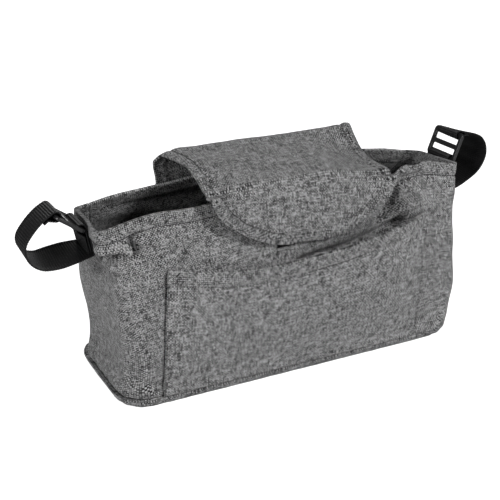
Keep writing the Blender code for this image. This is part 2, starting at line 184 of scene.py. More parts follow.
# Base cloth: the bag's bottom, one panel of the grey heather turned up round its edge into a
# narrow strip and sewn to the walls all round. The cloth is a polyester plain weave whose thread
# is spun from light and dark fibres, so that both threads change tone along their length.
THREAD = 0.00118
SLUB_LENGTH = 0.0070
HEATHER_LIGHT = (0.440, 0.440, 0.442, 1.0)
HEATHER_DARK = (0.018, 0.018, 0.0185, 1.0)
# Bound edges and hems are painted darker by this share: painted shade
BAND_PAINTED_SHADE = 0.90
TONE_GAIN = 4.9
# How far apart neighbouring threads are in the noise that dyes them, and its detail and roughness
THREAD_SHIFT = 1.37
WEFT_SHIFT = 7.3
SLUB_NOISE = (3.0, 0.70)
# How unevenly the threads cross, and what each crossing, its rounding and patches add to the tone
UNEVEN_SCALE = 540.0
UNEVEN = 2.2
PATCH_SCALE = 38.0
PATCH_TONE = 0.04
WEFT_TONE = -0.11
MIDDLE_TONE = 0.5
# The threads' rounding is painted: painted shade in the gaps between threads, painted light on
# their middles
ROUND_TONE = 0.20
ROUND_SHADE = -0.15
SLUB_HEIGHT = 0.9
WEAVE_DEPTH = 0.00022
WEAVE_BUMP = 0.55
CLOTH_ROUGHNESS = 0.92
CLOTH_SHINE = 0.18
SHEEN = 0.12
SHEEN_ROUGHNESS = 0.6
THREAD_TWIST = 900.0
THREAD_ROUGHNESS = 0.55
# The base strip's cloth is painted darker: painted shade at the bag's foot
BASE_PAINTED_SHADE = 0.86
# The sewing thread is painted nearly black: painted shade of its needle holes and groove, over the
# thread's own grey
SEAM_SHADE_THREAD = (0.014, 0.014, 0.0145)
HEATHER_THREAD = (0.13, 0.13, 0.131)
CLOTH = 0.0016
STITCH = 0.0026
STITCH_GAP = 0.0005
STITCH_WIDTH = 0.0007
CLOSE_GAP = 0.0003
HEM_THREAD = 0.0009
FLAP_THREAD = 0.0010
# A stitch is a sphere of unit size, drawn out: its segments, rings and radius
STITCH_BEAD = (6, 4, 0.5)
BASE_CORNER = 0.025
STRIP_STEP = 0.0022
# A mix node's inputs for its factor and for what it mixes, and its output, of colors and vectors
MIX_COLORS = (0, 6, 7)
MIXED_COLOR = 2
MIX_VECTORS = (0, 4, 5)
MIXED_VECTOR = 1
STRIP_LIP = 0.0004
STRIP_SIDE_ROWS = range(3, 12)
# The strip curls up at the back left corner
STRIP_CURL_AT = (-0.158, 0.052)
STRIP_CURL = 0.0045
STRIP_CURL_REACH = 0.018
# It stands out at its left end, is drawn in at the front's right and is gathered at the front's
# left: how far, from which X, over what distance
STRIP_OUT, STRIP_OUT_FROM, STRIP_OUT_OVER = 0.0034, -0.145, 0.015
STRIP_IN, STRIP_IN_FROM, STRIP_IN_OVER, STRIP_IN_DEEP = 0.0012, 0.120, 0.03, 0.05
STRIP_GATHER_AT = (-0.148, -0.052)
# Lumps: how high and how large. Puckers: how high, how far from their seam, the lumps' size and
# their seed
STRIP_LUMP = (0.0005, (0.012, 0.012, 0.01))
STRIP_GATHER = (0.0012, 0.030, (0.007, 0.007, 0.012), 9.0)
base_low, base_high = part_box("base_panel")
BASE_LENGTH = base_high.x - base_low.x
BASE_DEPTH = base_high.y - base_low.y
STRIP_HEIGHT = base_high.z


def speckle(tree, place, scale, detail=2.0, roughness=0.5):
    """Noise from 0 to 1."""
    grain = node_after(tree, "ShaderNodeTexNoise", place)
    feed(tree, grain, {"Scale": scale, "Detail": detail, "Roughness": roughness})
    return grain.outputs[0]


def dye(tree, shader, color, tone):
    """A shader's color, darker and lighter by the tone."""
    dyed = node_after(tree, "ShaderNodeVectorMath", color, operation="SCALE")
    feed(tree, dyed, {"Scale": tone})
    feed(tree, shader, {"Base Color": dyed.outputs[0]})


def roughen(tree, shader, height, strength, distance):
    bump = node_after(tree, "ShaderNodeBump")
    feed(tree, bump, {"Strength": strength, "Distance": distance, "Height": height})
    feed(tree, shader, {"Normal": bump.outputs["Normal"]})


def add_sockets(group, ins, outs):
    """Gives a node group its inputs and outputs, each a name and a kind, and returns the nodes'
    sockets for them."""
    for way, sockets in (("INPUT", ins), ("OUTPUT", outs)):
        for label, kind in sockets:
            group.interface.new_socket(label, in_out=way, socket_type="NodeSocket" + kind)
    return group.nodes.new("NodeGroupInput").outputs, group.nodes.new("NodeGroupOutput")


def make_heather_weave():
    """Color and height of the weave, from a place on the cloth in metres, its color scaled by a
    shade of painted light or shade.
    """
    group = bpy.data.node_groups.new("heather_weave", "ShaderNodeTree")
    given, result = add_sockets(group, (("Place", "Vector"), ("Shade", "Float")),
                                (("Color", "Color"), ("Height", "Float")))
    place = node_after(group, "ShaderNodeSeparateXYZ", given["Place"]).outputs

    def threads(across, along, shift):
        """Every thread's own tone, which changes slowly along it, and how near its middle is."""
        count = sum_of(group, "DIVIDE", across, THREAD)
        number = sum_of(group, "MULTIPLY", sum_of(group, "FLOOR", count), THREAD_SHIFT)
        long = sum_of(group, "DIVIDE", along, SLUB_LENGTH)
        where = node_after(group, "ShaderNodeCombineXYZ", number, long, shift).outputs[0]
        wave = sum_of(group, "SINE", sum_of(group, "MULTIPLY", count, math.pi))
        return speckle(group, where, 1.0, *SLUB_NOISE), wave

    def centred(value, span):
        return sum_of(group, "MULTIPLY_ADD", value, span, -span / 2)

    warp_tone, wave_u = threads(place["X"], place["Y"], 0.0)
    weft_tone, wave_v = threads(place["Y"], place["X"], WEFT_SHIFT)
    checker = sum_of(group, "MULTIPLY", wave_u, wave_v)
    uneven = centred(speckle(group, given["Place"], UNEVEN_SCALE, 1.0), UNEVEN)
    on_top = sum_of(group, "GREATER_THAN", sum_of(group, "ADD", checker, uneven), 0.0)
    thread_tone = node_after(group, "ShaderNodeMix")
    feed(group, thread_tone, {0: on_top, 2: warp_tone, 3: weft_tone})
    thread_tone = thread_tone.outputs[0]
    # painted shade between the threads and painted light on their rounded middles
    round_off = sum_of(group, "POWER", sum_of(group, "ABSOLUTE", checker), 0.5)
    tone = centred(speckle(group, given["Place"], PATCH_SCALE, 3.0), PATCH_TONE)
    for share in (
        sum_of(group, "SUBTRACT", thread_tone, MIDDLE_TONE),
        sum_of(group, "MULTIPLY_ADD", round_off, ROUND_TONE, ROUND_SHADE),
        centred(on_top, WEFT_TONE),
    ):
        tone = sum_of(group, "ADD", tone, share)
    tone = sum_of(group, "MULTIPLY_ADD", tone, TONE_GAIN, MIDDLE_TONE)
    dyed = node_after(group, "ShaderNodeMix", data_type="RGBA")
    feed(group, dyed, dict(zip(MIX_COLORS, (tone, HEATHER_DARK, HEATHER_LIGHT))))
    shaded = node_after(group, "ShaderNodeVectorMath", dyed.outputs[MIXED_COLOR],
                        operation="SCALE")
    feed(group, shaded, {"Scale": given["Shade"]})
    slubs = sum_of(group, "MULTIPLY", thread_tone, SLUB_HEIGHT)
    feed(group, result, {"Color": shaded.outputs[0],
                         "Height": sum_of(group, "ADD", round_off, slubs)})
    return group


heather_weave = make_heather_weave()


def heather(name, shade):
    """The grey cloth, made lighter or darker by shade, painted light or shade for how light falls
    on this piece. Bound edges are cut on the bias, so their threads run askew, and are painted
    darker."""
    cloth, tree, shader = new_finish(name, CLOTH_ROUGHNESS, CLOTH_SHINE)
    place = node_after(tree, "ShaderNodeUVMap", uv_map="cloth").outputs[0]
    askew = node_after(tree, "ShaderNodeVectorRotate", place, rotation_type="Z_AXIS")
    feed(tree, askew, {"Angle": math.pi / 4})
    band = node_after(tree, "ShaderNodeAttribute", attribute_name="band").outputs["Fac"]
    in_band = sum_of(tree, "GREATER_THAN", band, 0.0)
    grain = node_after(tree, "ShaderNodeMix", data_type="VECTOR")
    feed(tree, grain, dict(zip(MIX_VECTORS, (in_band, place, askew.outputs[0]))))
    weave = node_after(tree, "ShaderNodeGroup", node_tree=heather_weave)
    shading = sum_of(tree, "MULTIPLY_ADD", in_band, shade * (BAND_PAINTED_SHADE - 1.0), shade)
    feed(tree, weave, {"Place": grain.outputs[MIXED_VECTOR], "Shade": shading})
    roughen(tree, shader, weave.outputs["Height"], WEAVE_BUMP, WEAVE_DEPTH)
    feed(tree, shader, {"Base Color": weave.outputs["Color"], "Sheen Weight": SHEEN,
                        "Sheen Roughness": SHEEN_ROUGHNESS})
    return cloth


def thread_finish(name, color):
    """Sewing thread: twisted polyester with a slight shine."""
    thread, tree, shader = new_finish(name, THREAD_ROUGHNESS)
    place = node_after(tree, "ShaderNodeTexCoord").outputs["Object"]
    twist = speckle(tree, place, THREAD_TWIST)
    dye(tree, shader, color, ranged(tree, twist, 0.7, 1.25))
    roughen(tree, shader, twist, 0.4, 0.0001)
    return thread


seam_shade_thread = thread_finish("seam_shade_thread", SEAM_SHADE_THREAD)
heather_thread = thread_finish("heather_thread", HEATHER_THREAD)


def make_stitch_tree():
    """Lays short stitches of thread end to end along the lines of a mesh."""
    tree = bpy.data.node_groups.new("stitches", "GeometryNodeTree")
    given, result = add_sockets(
        tree,
        (("Lines", "Geometry"), ("Stitch", "Float"), ("Gap", "Float"), ("Width", "Float"),
         ("Thread", "Material")),
        (("Stitches", "Geometry"),))
    line = node_after(tree, "GeometryNodeMeshToCurve", given["Lines"]).outputs[0]
    pitch = sum_of(tree, "ADD", given["Stitch"], given["Gap"])
    even = node_after(tree, "GeometryNodeResampleCurve", mode="LENGTH")
    feed(tree, even, {"Curve": line, "Length": pitch})
    bead = node_after(tree, "GeometryNodeMeshUVSphere", *STITCH_BEAD)
    size = node_after(tree, "ShaderNodeCombineXYZ", given["Stitch"], given["Width"],
                      given["Width"])
    tangent = node_after(tree, "GeometryNodeInputTangent").outputs[0]
    turn = node_after(tree, "FunctionNodeAlignRotationToVector", axis="X")
    feed(tree, turn, {"Vector": tangent})
    placed = node_after(tree, "GeometryNodeInstanceOnPoints")
    feed(tree, placed, {"Points": even.outputs[0], "Instance": bead.outputs["Mesh"],
                        "Rotation": turn.outputs[0], "Scale": size.outputs[0]})
    real = node_after(tree, "GeometryNodeRealizeInstances", placed.outputs[0]).outputs[0]
    smooth = node_after(tree, "GeometryNodeSetShadeSmooth", real).outputs[0]
    dyed = node_after(tree, "GeometryNodeSetMaterial")
    feed(tree, dyed, {"Geometry": smooth, "Material": given["Thread"]})
    feed(tree, result, {"Stitches": dyed.outputs[0]})
    return tree


stitch_tree = make_stitch_tree()


def made_plain(thing):
    """Turns an object's modifiers into plain mesh and takes them off."""
    bpy.context.view_layer.update()
    seen_now = thing.evaluated_get(bpy.context.evaluated_depsgraph_get())
    mesh = bpy.data.meshes.new_from_object(seen_now)
    mesh.name = thing.name
    thing.modifiers.clear()
    thing.data = mesh
    return thing


def sew(name, seams, thread=None, stitch=STITCH, gap=STITCH_GAP, width=STITCH_WIDTH):
    """Rows of stitches along seams, each a list of points on the cloth."""
    points, edges = [], []
    for seam in seams:
        start = len(points)
        points += seam
        edges += [(start + step, start + step + 1) for step in range(len(seam) - 1)]
    mesh = bpy.data.meshes.new(name)
    mesh.from_pydata(points, edges, ())
    row = in_scene(name, mesh)
    sewing = row.modifiers.new("stitches", "NODES")
    sewing.node_group = stitch_tree
    sockets = {item.name: item.identifier for item in stitch_tree.interface.items_tree}
    for label, value in (("Stitch", stitch), ("Gap", gap), ("Width", width),
                         ("Thread", thread or seam_shade_thread)):
        sewing[sockets[label]] = value
    made_plain(row)
    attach(row, "root")
    return row


def rumple(point, size, seed=0.0):
    """Smooth unevenness from -1 to 1, whose lumps measure size along X, Y and Z."""
    spot = (point.x / size[0] + seed, point.y / size[1] - seed, point.z / size[2] + 2 * seed)
    return noise.noise(Vector(spot))


def slack(point, lumps, seed):
    """Lumps one on another, each with how high it is and how large."""
    return sum(height * rumple(point, size, seed + number)
               for number, (height, size) in enumerate(lumps))


def puckered(point, distance, height, reach, size, seed):
    """Lumps drawn up along a seam that is some distance off."""
    return height * nearby(distance, reach) * rumple(point, size, seed)


def ease(value):
    value = min(max(value, 0.0), 1.0)
    return value * value * (3 - 2 * value)


def nearby(distance, reach):
    """1 at no distance, falling smoothly to 0 past reach."""
    return math.exp(-((distance / reach) ** 2))


def lengths_along(points):
    """How far along a line each of its points is."""
    lengths = [0.0]
    for before, after in zip(points, points[1:]):
        lengths.append(lengths[-1] + (after - before).length)
    return lengths


def tube(name, bm, rings, flat, finish):
    """A closed tube through rings of vertices, where flat(row, step) is a vertex's place on the
    cloth. Its two ends take their place from X and Y."""
    cloth_uv = bm.loops.layers.uv.new("cloth")
    count = len(rings[0])
    for row, (lower, upper) in enumerate(zip(rings, rings[1:])):
        for step in range(count):
            after = (step + 1) % count
            panel = bm.faces.new((lower[step], lower[after], upper[after], upper[step]))
            for loop, (ahead, up) in zip(panel.loops, ((0, 0), (1, 0), (1, 1), (0, 1))):
                loop[cloth_uv].uv = flat(row + up, step + ahead)
    for end in (list(reversed(rings[0])), rings[-1]):
        for loop in bm.faces.new(end).loops:
            loop[cloth_uv].uv = (loop.vert.co.x, loop.vert.co.y)
    bmesh.ops.recalc_face_normals(bm, faces=bm.faces)
    for panel in bm.faces:
        panel.smooth = True
    thing = object_of(name, bm)
    thing.data.materials.append(finish)
    return thing


def base_edge(part, inset):
    """A point of the base's outline, part of the way round from the middle of its back, turning
    anticlockwise seen from above, and the direction out of it."""
    corner = max(BASE_CORNER - inset, 0.001)
    half_x = BASE_LENGTH / 2 - BASE_CORNER
    half_y = BASE_DEPTH / 2 - BASE_CORNER
    arc = BASE_CORNER * math.pi / 2
    way = part * (4 * half_x + 4 * half_y + 4 * arc)
    start = Vector((0.0, half_y))
    turn = math.pi / 2
    for length in (half_x, 2 * half_y, 2 * half_x, 2 * half_y, half_x):
        out = Vector((math.cos(turn), math.sin(turn)))
        ahead = Vector((-out.y, out.x))
        if way <= length:
            break
        start += ahead * length
        way -= length
        if way <= arc:
            turn += way / BASE_CORNER
            out = Vector((math.cos(turn), math.sin(turn)))
            return start + out * corner, out
        way -= arc
        turn += math.pi / 2
    return start + ahead * way + out * corner, out


strip_columns = round((2 * BASE_LENGTH + 2 * BASE_DEPTH) / STRIP_STEP)


def strip_pucker(part, height):
    """The strip is drawn up by its seam, most of all at the front left corner."""
    spot, _ = base_edge(part, 0.0)
    place = Vector((spot.x, spot.y, height))
    left = ease((STRIP_OUT_FROM - spot.x) / STRIP_OUT_OVER) * ease(height / STRIP_HEIGHT)
    right = ease((spot.x - STRIP_IN_FROM) / STRIP_IN_OVER) * ease(-spot.y / STRIP_IN_DEEP)
    gathered = puckered(place, (spot - Vector(STRIP_GATHER_AT)).length, *STRIP_GATHER)
    return slack(place, (STRIP_LUMP,), 4.0) + STRIP_OUT * left - STRIP_IN * right + gathered


def strip_profile(part):
    """The cloth's outline from underneath, up the strip, over its seam and down inside."""
    lip = STRIP_LIP * (1 + 0.3 * rumple(Vector((part * 60, 0, 0)), (1, 1, 1), 2.0))
    top = STRIP_HEIGHT
    return (
        (0.0080, 0.0), (0.0045, 0.0), (0.0022, 0.0001), (0.0008, 0.0007), (0.0001, 0.0020),
        (-0.0001, 0.0034), (-0.0002, 0.0046), (0.0001, 0.0056), (0.0004, 0.0064),
        (-lip * 0.5, top - 0.0010), (-lip * 0.4, top - 0.0004), (0.0008, top),
        (0.0015, top - 0.0004), (CLOTH + 0.0002, top - 0.0012), (CLOTH + 0.0001, 0.0040),
        (CLOTH + 0.0004, 0.0024), (0.0030, CLOTH), (0.0080, CLOTH),
    )


bm = bmesh.new()
around = 2 * (BASE_LENGTH + BASE_DEPTH) - (8 - 2 * math.pi) * BASE_CORNER
base_rows = []
for row in range(len(strip_profile(0.0))):
    ring = []
    for column in range(strip_columns):
        part = column / strip_columns
        inset, height = strip_profile(part)[row]
        push = strip_pucker(part, height) if row in STRIP_SIDE_ROWS else 0.0
        spot, out = base_edge(part, inset)
        curled = nearby((spot - Vector(STRIP_CURL_AT)).length, STRIP_CURL_REACH)
        curled *= ease(height / STRIP_HEIGHT)
        spot = spot + out * push
        ring.append(bm.verts.new((spot.x, spot.y, height + STRIP_CURL * curled)))
    base_rows.append(ring)


def base_flat(row, step):
    inset, height = strip_profile(0.0)[row]
    return step / strip_columns * around, height - inset


base_cloth = tube("base_cloth", bm, base_rows, base_flat, heather("heather_base", BASE_PAINTED_SHADE))
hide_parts("base_panel")
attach(base_cloth, "root")

# Base board: a stiff plastic sheet cut to the base, which keeps the bottom flat. It lies loose on
# the base cloth and shows only when one looks down into the bag.
BOARD_COLOR = (0.030, 0.030, 0.031)
BOARD_PEBBLE = 620.0
BOARD_SCUFFS = 45.0
board, tree, shader = new_finish("embossed_board", 0.5)
place = node_after(tree, "ShaderNodeTexCoord").outputs["Object"]
pebble = node_after(tree, "ShaderNodeTexVoronoi")
feed(tree, pebble, {"Vector": place, "Scale": BOARD_PEBBLE})
scuffed = speckle(tree, place, BOARD_SCUFFS, 6.0)
dye(tree, shader, BOARD_COLOR, ranged(tree, scuffed, 0.75, 1.35))
feed(tree, shader, {"Roughness": ranged(tree, scuffed, 0.42, 0.66)})
roughen(tree, shader, pebble.outputs["Distance"], 0.5, 0.0002)
base_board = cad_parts["base_board"]
base_board.data.materials.clear()
base_board.data.materials.append(board)

# Walls: one long panel makes the front and wraps round both ends, and a second one is the back.
# Their seams stand just inside the back corners. The top is turned in and stitched as a hem, the
# foot is gathered a little on to the base strip, and the slack cloth creases at the front corner.
FOOT_GAP = 0.0005
RIM_SPREAD = 0.015
RIM_SWAY = -0.0095
RIM_DEPTH = 0.064
RIM_CORNER = 0.007
CORNER_POWER = 0.6
FRONT_RIM = (0.1645, 0.1718, 0.1716, 0.1765, 0.1800, 0.1790, 0.1720, 0.1775, 0.1710)
BACK_RIM = (0.1650, 0.1712, 0.1745, 0.1785, 0.1800, 0.1800, 0.1785, 0.1744, 0.1668)
LEFT_SWELL = (0.0, -0.0040, 0.0030, 0.0100)
RIGHT_SWELL = (0.0, 0.0095, -0.0010, -0.0060)
FRONT_SWELL = (0.0, 0.005, 0.007, 0.005)
BACK_LEAN = (0.0, 0.05, 0.14, 0.45)
SEAM_INSET = 0.006
SEAM_GAP = 0.0003
HEM = 0.0028
TURNED_EDGE = 0.0007
HEM_DEPTH = 0.0112
HEM_STEP = 0.0012
WALL_STEP = 0.00175
# How close the rows lie from the foot up, and where that changes near the foot and the hem
ROW_STEPS = (0.0011, 0.0022, 0.0012, 0.0007, 0.0014)
GATHERED_TO = 0.012
HEM_BAND = 0.003
CREASED_FROM = 0.118
CREASED_STEP = 0.0011
CREASED_PART = 0.13
DEPTH_WEIGHT = 0.4
# The walls' slack is less near the foot and the rim
CALM_REACH = 0.03
CALM = 0.4
WALL_LUMP = (0.0013, (0.060, 0.060, 0.075))
WALL_LUMPS = ((0.0005, (0.020, 0.020, 0.030)), (0.00022, (0.008, 0.008, 0.010)))
HEM_PUCKER = (0.0004, 0.005, (0.006, 0.006, 0.02), 5.0)
FOOT_PUCKER = (0.0012, 0.006, (0.0075, 0.0075, 0.012), 6.0)
# Grooves and rolls along the hem and along the foot: where, how far out, how wide
HEM_ROLLS = ((HEM_DEPTH, -0.0010, 0.0011), (HEM_DEPTH / 2, 0.0004, HEM_DEPTH / 3))
FOOT_ROLLS = ((0.004, 0.0006, 0.004), (0.0, -0.0004, 0.0008))
CHANNEL_WIDTH = 0.0018
CHANNEL_END = 0.002
CHANNEL_FADE = 0.003
FRONT_BEFORE = -0.05
FOOT_HEIGHT = STRIP_HEIGHT + FOOT_GAP
WALL_HEIGHT = max(FRONT_RIM) - FOOT_HEIGHT
RIM_LENGTH = BASE_LENGTH + RIM_SPREAD

# Creases and soft folds of the walls, in millimetres: points along each, its width, how far it
# stands out and how far it hangs down.
WALL_FOLDS = (
    (((-163, -63, 154.5), (-156, -63, 156.2), (-146, -63, 158.5)), 2, -4.2, 0),
    (((-155.6, -63, 154), (-154.1, -63, 149.5), (-154.9, -63, 145.3)), 2.4, -9.5, 0),
    (((-159, -63, 152.8), (-160.5, -63, 150)), 3.4, 6.6, 1.2),
    (((-154.9, -63, 144), (-160.6, -63, 144.4), (-168, -62, 143.2), (-173, -60, 141)), 4.6, -13, 0),
    (((-161, -63, 150.5), (-169, -62, 150), (-177, -56, 148)), 4.6, 9.8, 3.4),
    (((-179, -50, 164), (-180, -47, 156)), 5.8, 3.4, 0),
    (((-174, -62, 143.5), (-179, -56, 140), (-179, -45, 138.5)), 5.6, -14, 0),
    (((-156, -64, 140), (-168, -63, 133.5), (-179, -56, 129)), 5, 3, 0),
    (((-178, -30, 124), (-178, 40, 124)), 26, -3.4, 0),
    (((-173, -20, 118), (-175, -45, 121), (-170, -62, 126)), 4.4, -3, 0),
    (((-145, -63, 154), (-125, -64, 147.5)), 6, 1.8, 0),
    (((-148, -63, 147), (-134, -64, 135)), 6, -1.8, 0),
    (((-150, -64, 120), (-138, -66, 100), (-136, -66, 70)), 9, -1.2, 0),
    (((-160, -62, 60), (-153, -64, 90), (-156, -63, 120)), 14, 1.4, 0),
    (((-166, -50, 34), (-153, -60, 26), (-140, -62, 18)), 4.6, -1.8, 0),
    (((-165, -52, 24), (-151, -61, 17.5), (-138, -62, 12.5)), 3.4, 2.6, 1),
    (((-166, -40, 28), (-166, 40, 28)), 16, -2.4, 0),
    (((0, -70, 103.5), (45, -71, 109), (78, -70, 116), (98, -68, 123)), 8, -18, 0),
    (((88, -65, 158), (90.5, -65, 148), (87, -65, 140), (78, -66, 133)), 6, -13, 0),
    (((162, -45, 60), (162, 20, 60)), 24, -3, 0),
    (((88, -60, 166), (100, -61, 168), (115, -61, 169)), 2.6, -3.4, 0),
    (((90, -60, 171.5), (103, -61, 173.5), (118, -61, 174)), 4.4, 2.6, 1),
    (((112, -63, 150), (135, -62, 144), (156, -60, 145)), 9, 1.2, 0),
    (((130, -66, 125), (142, -64, 90), (145, -62, 50)), 13, -1, 0),
    (((144, -58, 12), (154, -52, 15), (160, -40, 20)), 11, 4.8, 3),
    (((-120, -63, 156), (-90, -64, 150), (-60, -66, 135)), 11, 1, 0),
    (((-125, -64, 145), (-100, -65, 136), (-80, -66, 122)), 8, -1, 0),
    (((-150, 4, 160), (-120, 10, 156), (-60, 18, 156)), 7, 2.2, 0),
    (((-150, 8, 150), (-110, 18, 146), (-60, 26, 140)), 8, -1.8, 0),
    (((60, 18, 145), (100, 16, 150), (130, 10, 160)), 10, -1.8, 0),
    (((-100, 46, 90), (-30, 48, 80), (40, 47, 90)), 18, 1.4, 0),
)


def smooth_value(stations, at):
    """A smooth curve's value at 0..1 through evenly spaced stations."""
    last = len(stations) - 1
    way = min(max(at, 0.0), 1.0) * last
    index = min(int(way), last - 1)
    part = way - index
    before, first, second, after = [stations[min(max(index + step, 0), last)]
                                    for step in (-1, 0, 1, 2)]
    return 0.5 * (
        2 * first
        + (second - before) * part
        + (2 * before - 5 * first + 4 * second - after) * part ** 2
        + (3 * first - before - 3 * second + after) * part ** 3
    )


def rim_height(x, rim):
    return smooth_value(rim, (x - RIM_SWAY) / RIM_LENGTH + 0.5)


def height_share(z, top):
    return (z - FOOT_HEIGHT) / (top - FOOT_HEIGHT)


def front_y(share):
    return -BASE_DEPTH / 2 - smooth_value((*FRONT_SWELL, 0.0), share)


def back_y(share):
    return BASE_DEPTH / 2 - (BASE_DEPTH - RIM_DEPTH) * smooth_value((*BACK_LEAN, 1.0), share)


def end_x(side, share):
    swell = LEFT_SWELL if side < 0 else RIGHT_SWELL
    rim = RIM_SPREAD / 2 + side * RIM_SWAY
    return side * (BASE_LENGTH / 2 + smooth_value((*swell, rim), share))


def wall_point(stop, share):
    """A point of the walls: a stop round the section, at a share of the height."""
    corner_from, corner_to, along, angle = stop
    radius = BASE_CORNER + (RIM_CORNER - BASE_CORNER) * share ** CORNER_POWER
    centres = []
    for side, face in (corner_from, corner_to):
        wall = back_y(share) if face > 0 else front_y(share)
        centres.append(Vector((end_x(side, share) - side * radius, wall - face * radius)))
    flat = centres[0].lerp(centres[1], along)
    flat += radius * Vector((math.cos(angle), math.sin(angle)))
    behind = (flat.y - front_y(share)) / (back_y(share) - front_y(share))
    front_top = rim_height(flat.x, FRONT_RIM)
    top = front_top + (rim_height(flat.x, BACK_RIM) - front_top) * behind
    return Vector((flat.x, flat.y, FOOT_HEIGHT + share * (top - FOOT_HEIGHT)))


LEFT_BACK, LEFT_FRONT, RIGHT_FRONT, RIGHT_BACK = (-1, 1), (-1, -1), (1, -1), (1, 1)
QUARTER = math.pi / 2


def straight_stops(corner_from, corner_to, angle, length, start=0.0, end=1.0, step=WALL_STEP):
    count = max(round(length / step), 2)
    return [(corner_from, corner_to, start + (end - start) * number / count, angle)
            for number in range(count + 1)]


def corner_stops(corner, start):
    count = round(BASE_CORNER * QUARTER / WALL_STEP * 0.8)
    return [(corner, corner, 0.0, start + QUARTER * step / count) for step in range(1, count)]


def rows_between(low, high, step):
    count = max(round((high - low) / step), 1)
    return [low + (high - low) * row / count for row in range(count)]


def wall_rows():
    """Shares of the height: close rows at the foot and at the hem's stitches."""
    stitched = WALL_HEIGHT - HEM_DEPTH
    stops = (0.0, GATHERED_TO, CREASED_FROM, stitched - HEM_BAND, stitched + HEM_BAND,
             WALL_HEIGHT)
    rows = []
    for low, high, step in zip(stops, stops[1:], ROW_STEPS):
        rows += rows_between(low, high, step)
    return [height / WALL_HEIGHT for height in rows] + [1.0]


def squashed(point):
    """The point with its depth counted less, since a fold's own depth is given only roughly."""
    x, y, z = point
    return Vector((x, y * DEPTH_WEIGHT, z))


def ready(folds):
    """Folds in metres with their lines squashed, and the ball that each one reaches."""
    made = []
    for line, *shape in folds:
        spots = [squashed(Vector(point) * MM) for point in line]
        width, height, drop = [size * MM for size in shape]
        middle = spots[0].lerp(spots[-1], 0.5)
        reach = max((spot - middle).length for spot in spots) + 3 * width
        made.append((spots, width, height, drop, middle, reach))
    return made


def fold_relief(point, facing, folds):
    """How far ready folds move a point of the cloth out of its face and down."""
    total = Vector()
    spot = squashed(point)
    for line, width, height, drop, middle, reach in folds:
        if (spot - middle).length > reach:
            continue
        closest = 1.0
        for start, end in zip(line, line[1:]):
            away = spot - start
            run = end - start
            part = min(max(away.dot(run) / run.length_squared, 0.0), 1.0)
            closest = min(closest, (away - run * part).length)
        total += (facing * height - Vector((0, 0, drop))) * nearby(closest, width)
    return total


def round_edges(thing, width, segments, degrees):
    """Rounds the edges whose faces meet at more than an angle, and makes the object plain."""
    edge = thing.modifiers.new("edges", "BEVEL")
    edge.width = width
    edge.segments = segments
    edge.limit_method = "ANGLE"
    edge.angle_limit = math.radians(degrees)
    made_plain(thing)


def lay_cloth(name, place, columns, rows, thickness, outward, finish, relief=None, hem=None,
              band=None, down=None, shaded_underside=None):
    """A panel: a fine grid laid on place(column, row), moved by relief(point, facing, column, row)
    and then thickened. hem(column, row) is 1 where it is doubled, and band(column, row) is how far
    inside the bound edge it is. down lists how far along the cloth each row lies, where the
    threads run along X. Returns the panel and the tree that finds points of its face."""
    bm = bmesh.new()
    bmesh.ops.create_grid(bm, x_segments=columns, y_segments=rows, size=0.5)
    folded = bm.verts.layers.deform.verify()
    bound = bm.verts.layers.float.new("band")
    spots = {}
    for vert in bm.verts:
        column = round((vert.co.x + 0.5) * columns)
        row = round((vert.co.y + 0.5) * rows)
        spots[vert] = (column, row)
        vert.co = place(column, row)
        vert[folded][0] = hem(column, row) if hem else 0.0
        vert[bound] = band(column, row) if band else -1.0
    across = lengths_along([place(column, rows // 2) for column in range(columns + 1)])
    up = lengths_along([place(columns // 2, row) for row in range(rows + 1)])
    cloth_uv = bm.loops.layers.uv.new("cloth")
    for panel in bm.faces:
        panel.smooth = True
        for loop in panel.loops:
            column, row = spots[loop.vert]
            flat = (loop.vert.co.x, down[row]) if down else (across[column], up[row])
            loop[cloth_uv].uv = flat
    bm.normal_update()
    if relief:
        pushed = [(v, v.co + relief(v.co, v.normal, *spots[v])) for v in bm.verts]
        for vert, spot in pushed:
            vert.co = spot
    bm.normal_update()
    found = BVHTree.FromBMesh(bm)
    panel = object_of(name, bm)
    panel.data.materials.append(finish)
    panel.vertex_groups.new(name="hem")
    ply = panel.modifiers.new("ply", "SOLIDIFY")
    ply.offset = outward
    ply.thickness = HEM if hem else thickness
    # The other face takes a second material, a darker copy of the cloth: painted shade
    if shaded_underside:
        panel.data.materials.append(shaded_underside)
        ply.material_offset = 1
    if hem:
        ply.vertex_group = "hem"
        ply.thickness_vertex_group = thickness / HEM
    round_edges(panel, TURNED_EDGE, 2, 50)
    return panel, found


def on_cloth(found, points, lift):
    """The points moved on to a laid face, and lifted off it."""
    seam = []
    for point in points:
        spot, facing, _, _ = found.find_nearest(point)
        seam.append(spot + facing * lift)
    return seam


wall_folds = ready(WALL_FOLDS)
wall_shares = wall_rows()
RIM_HUMP_POWER = 6
# Humps of the front rim between its stations: where, how wide, how high
RIM_HUMPS = ((0.082, 0.0045, -0.0016), (0.101, 0.0070, 0.0030), (0.128, 0.014, 0.0010))
POCKET_LEFT, POCKET_RIGHT = -0.1325, 0.122
POCKET_LEAN = 0.0055
POCKET_TOP = (0.1250, 0.1186, 0.1150, 0.1154, 0.1190, 0.1240, 0.1312, 0.1350, 0.1340)
# The channels of the pocket's seams: where each one is, how high, how deep and how far it leans
CHANNELS = ((POCKET_LEFT, POCKET_TOP[0], 0.0013, POCKET_LEAN),
            (POCKET_RIGHT, POCKET_TOP[-1], 0.0017, 0.0))


def rolls(distance, shapes):
    return sum(height * nearby(distance - where, width) for where, height, width in shapes)


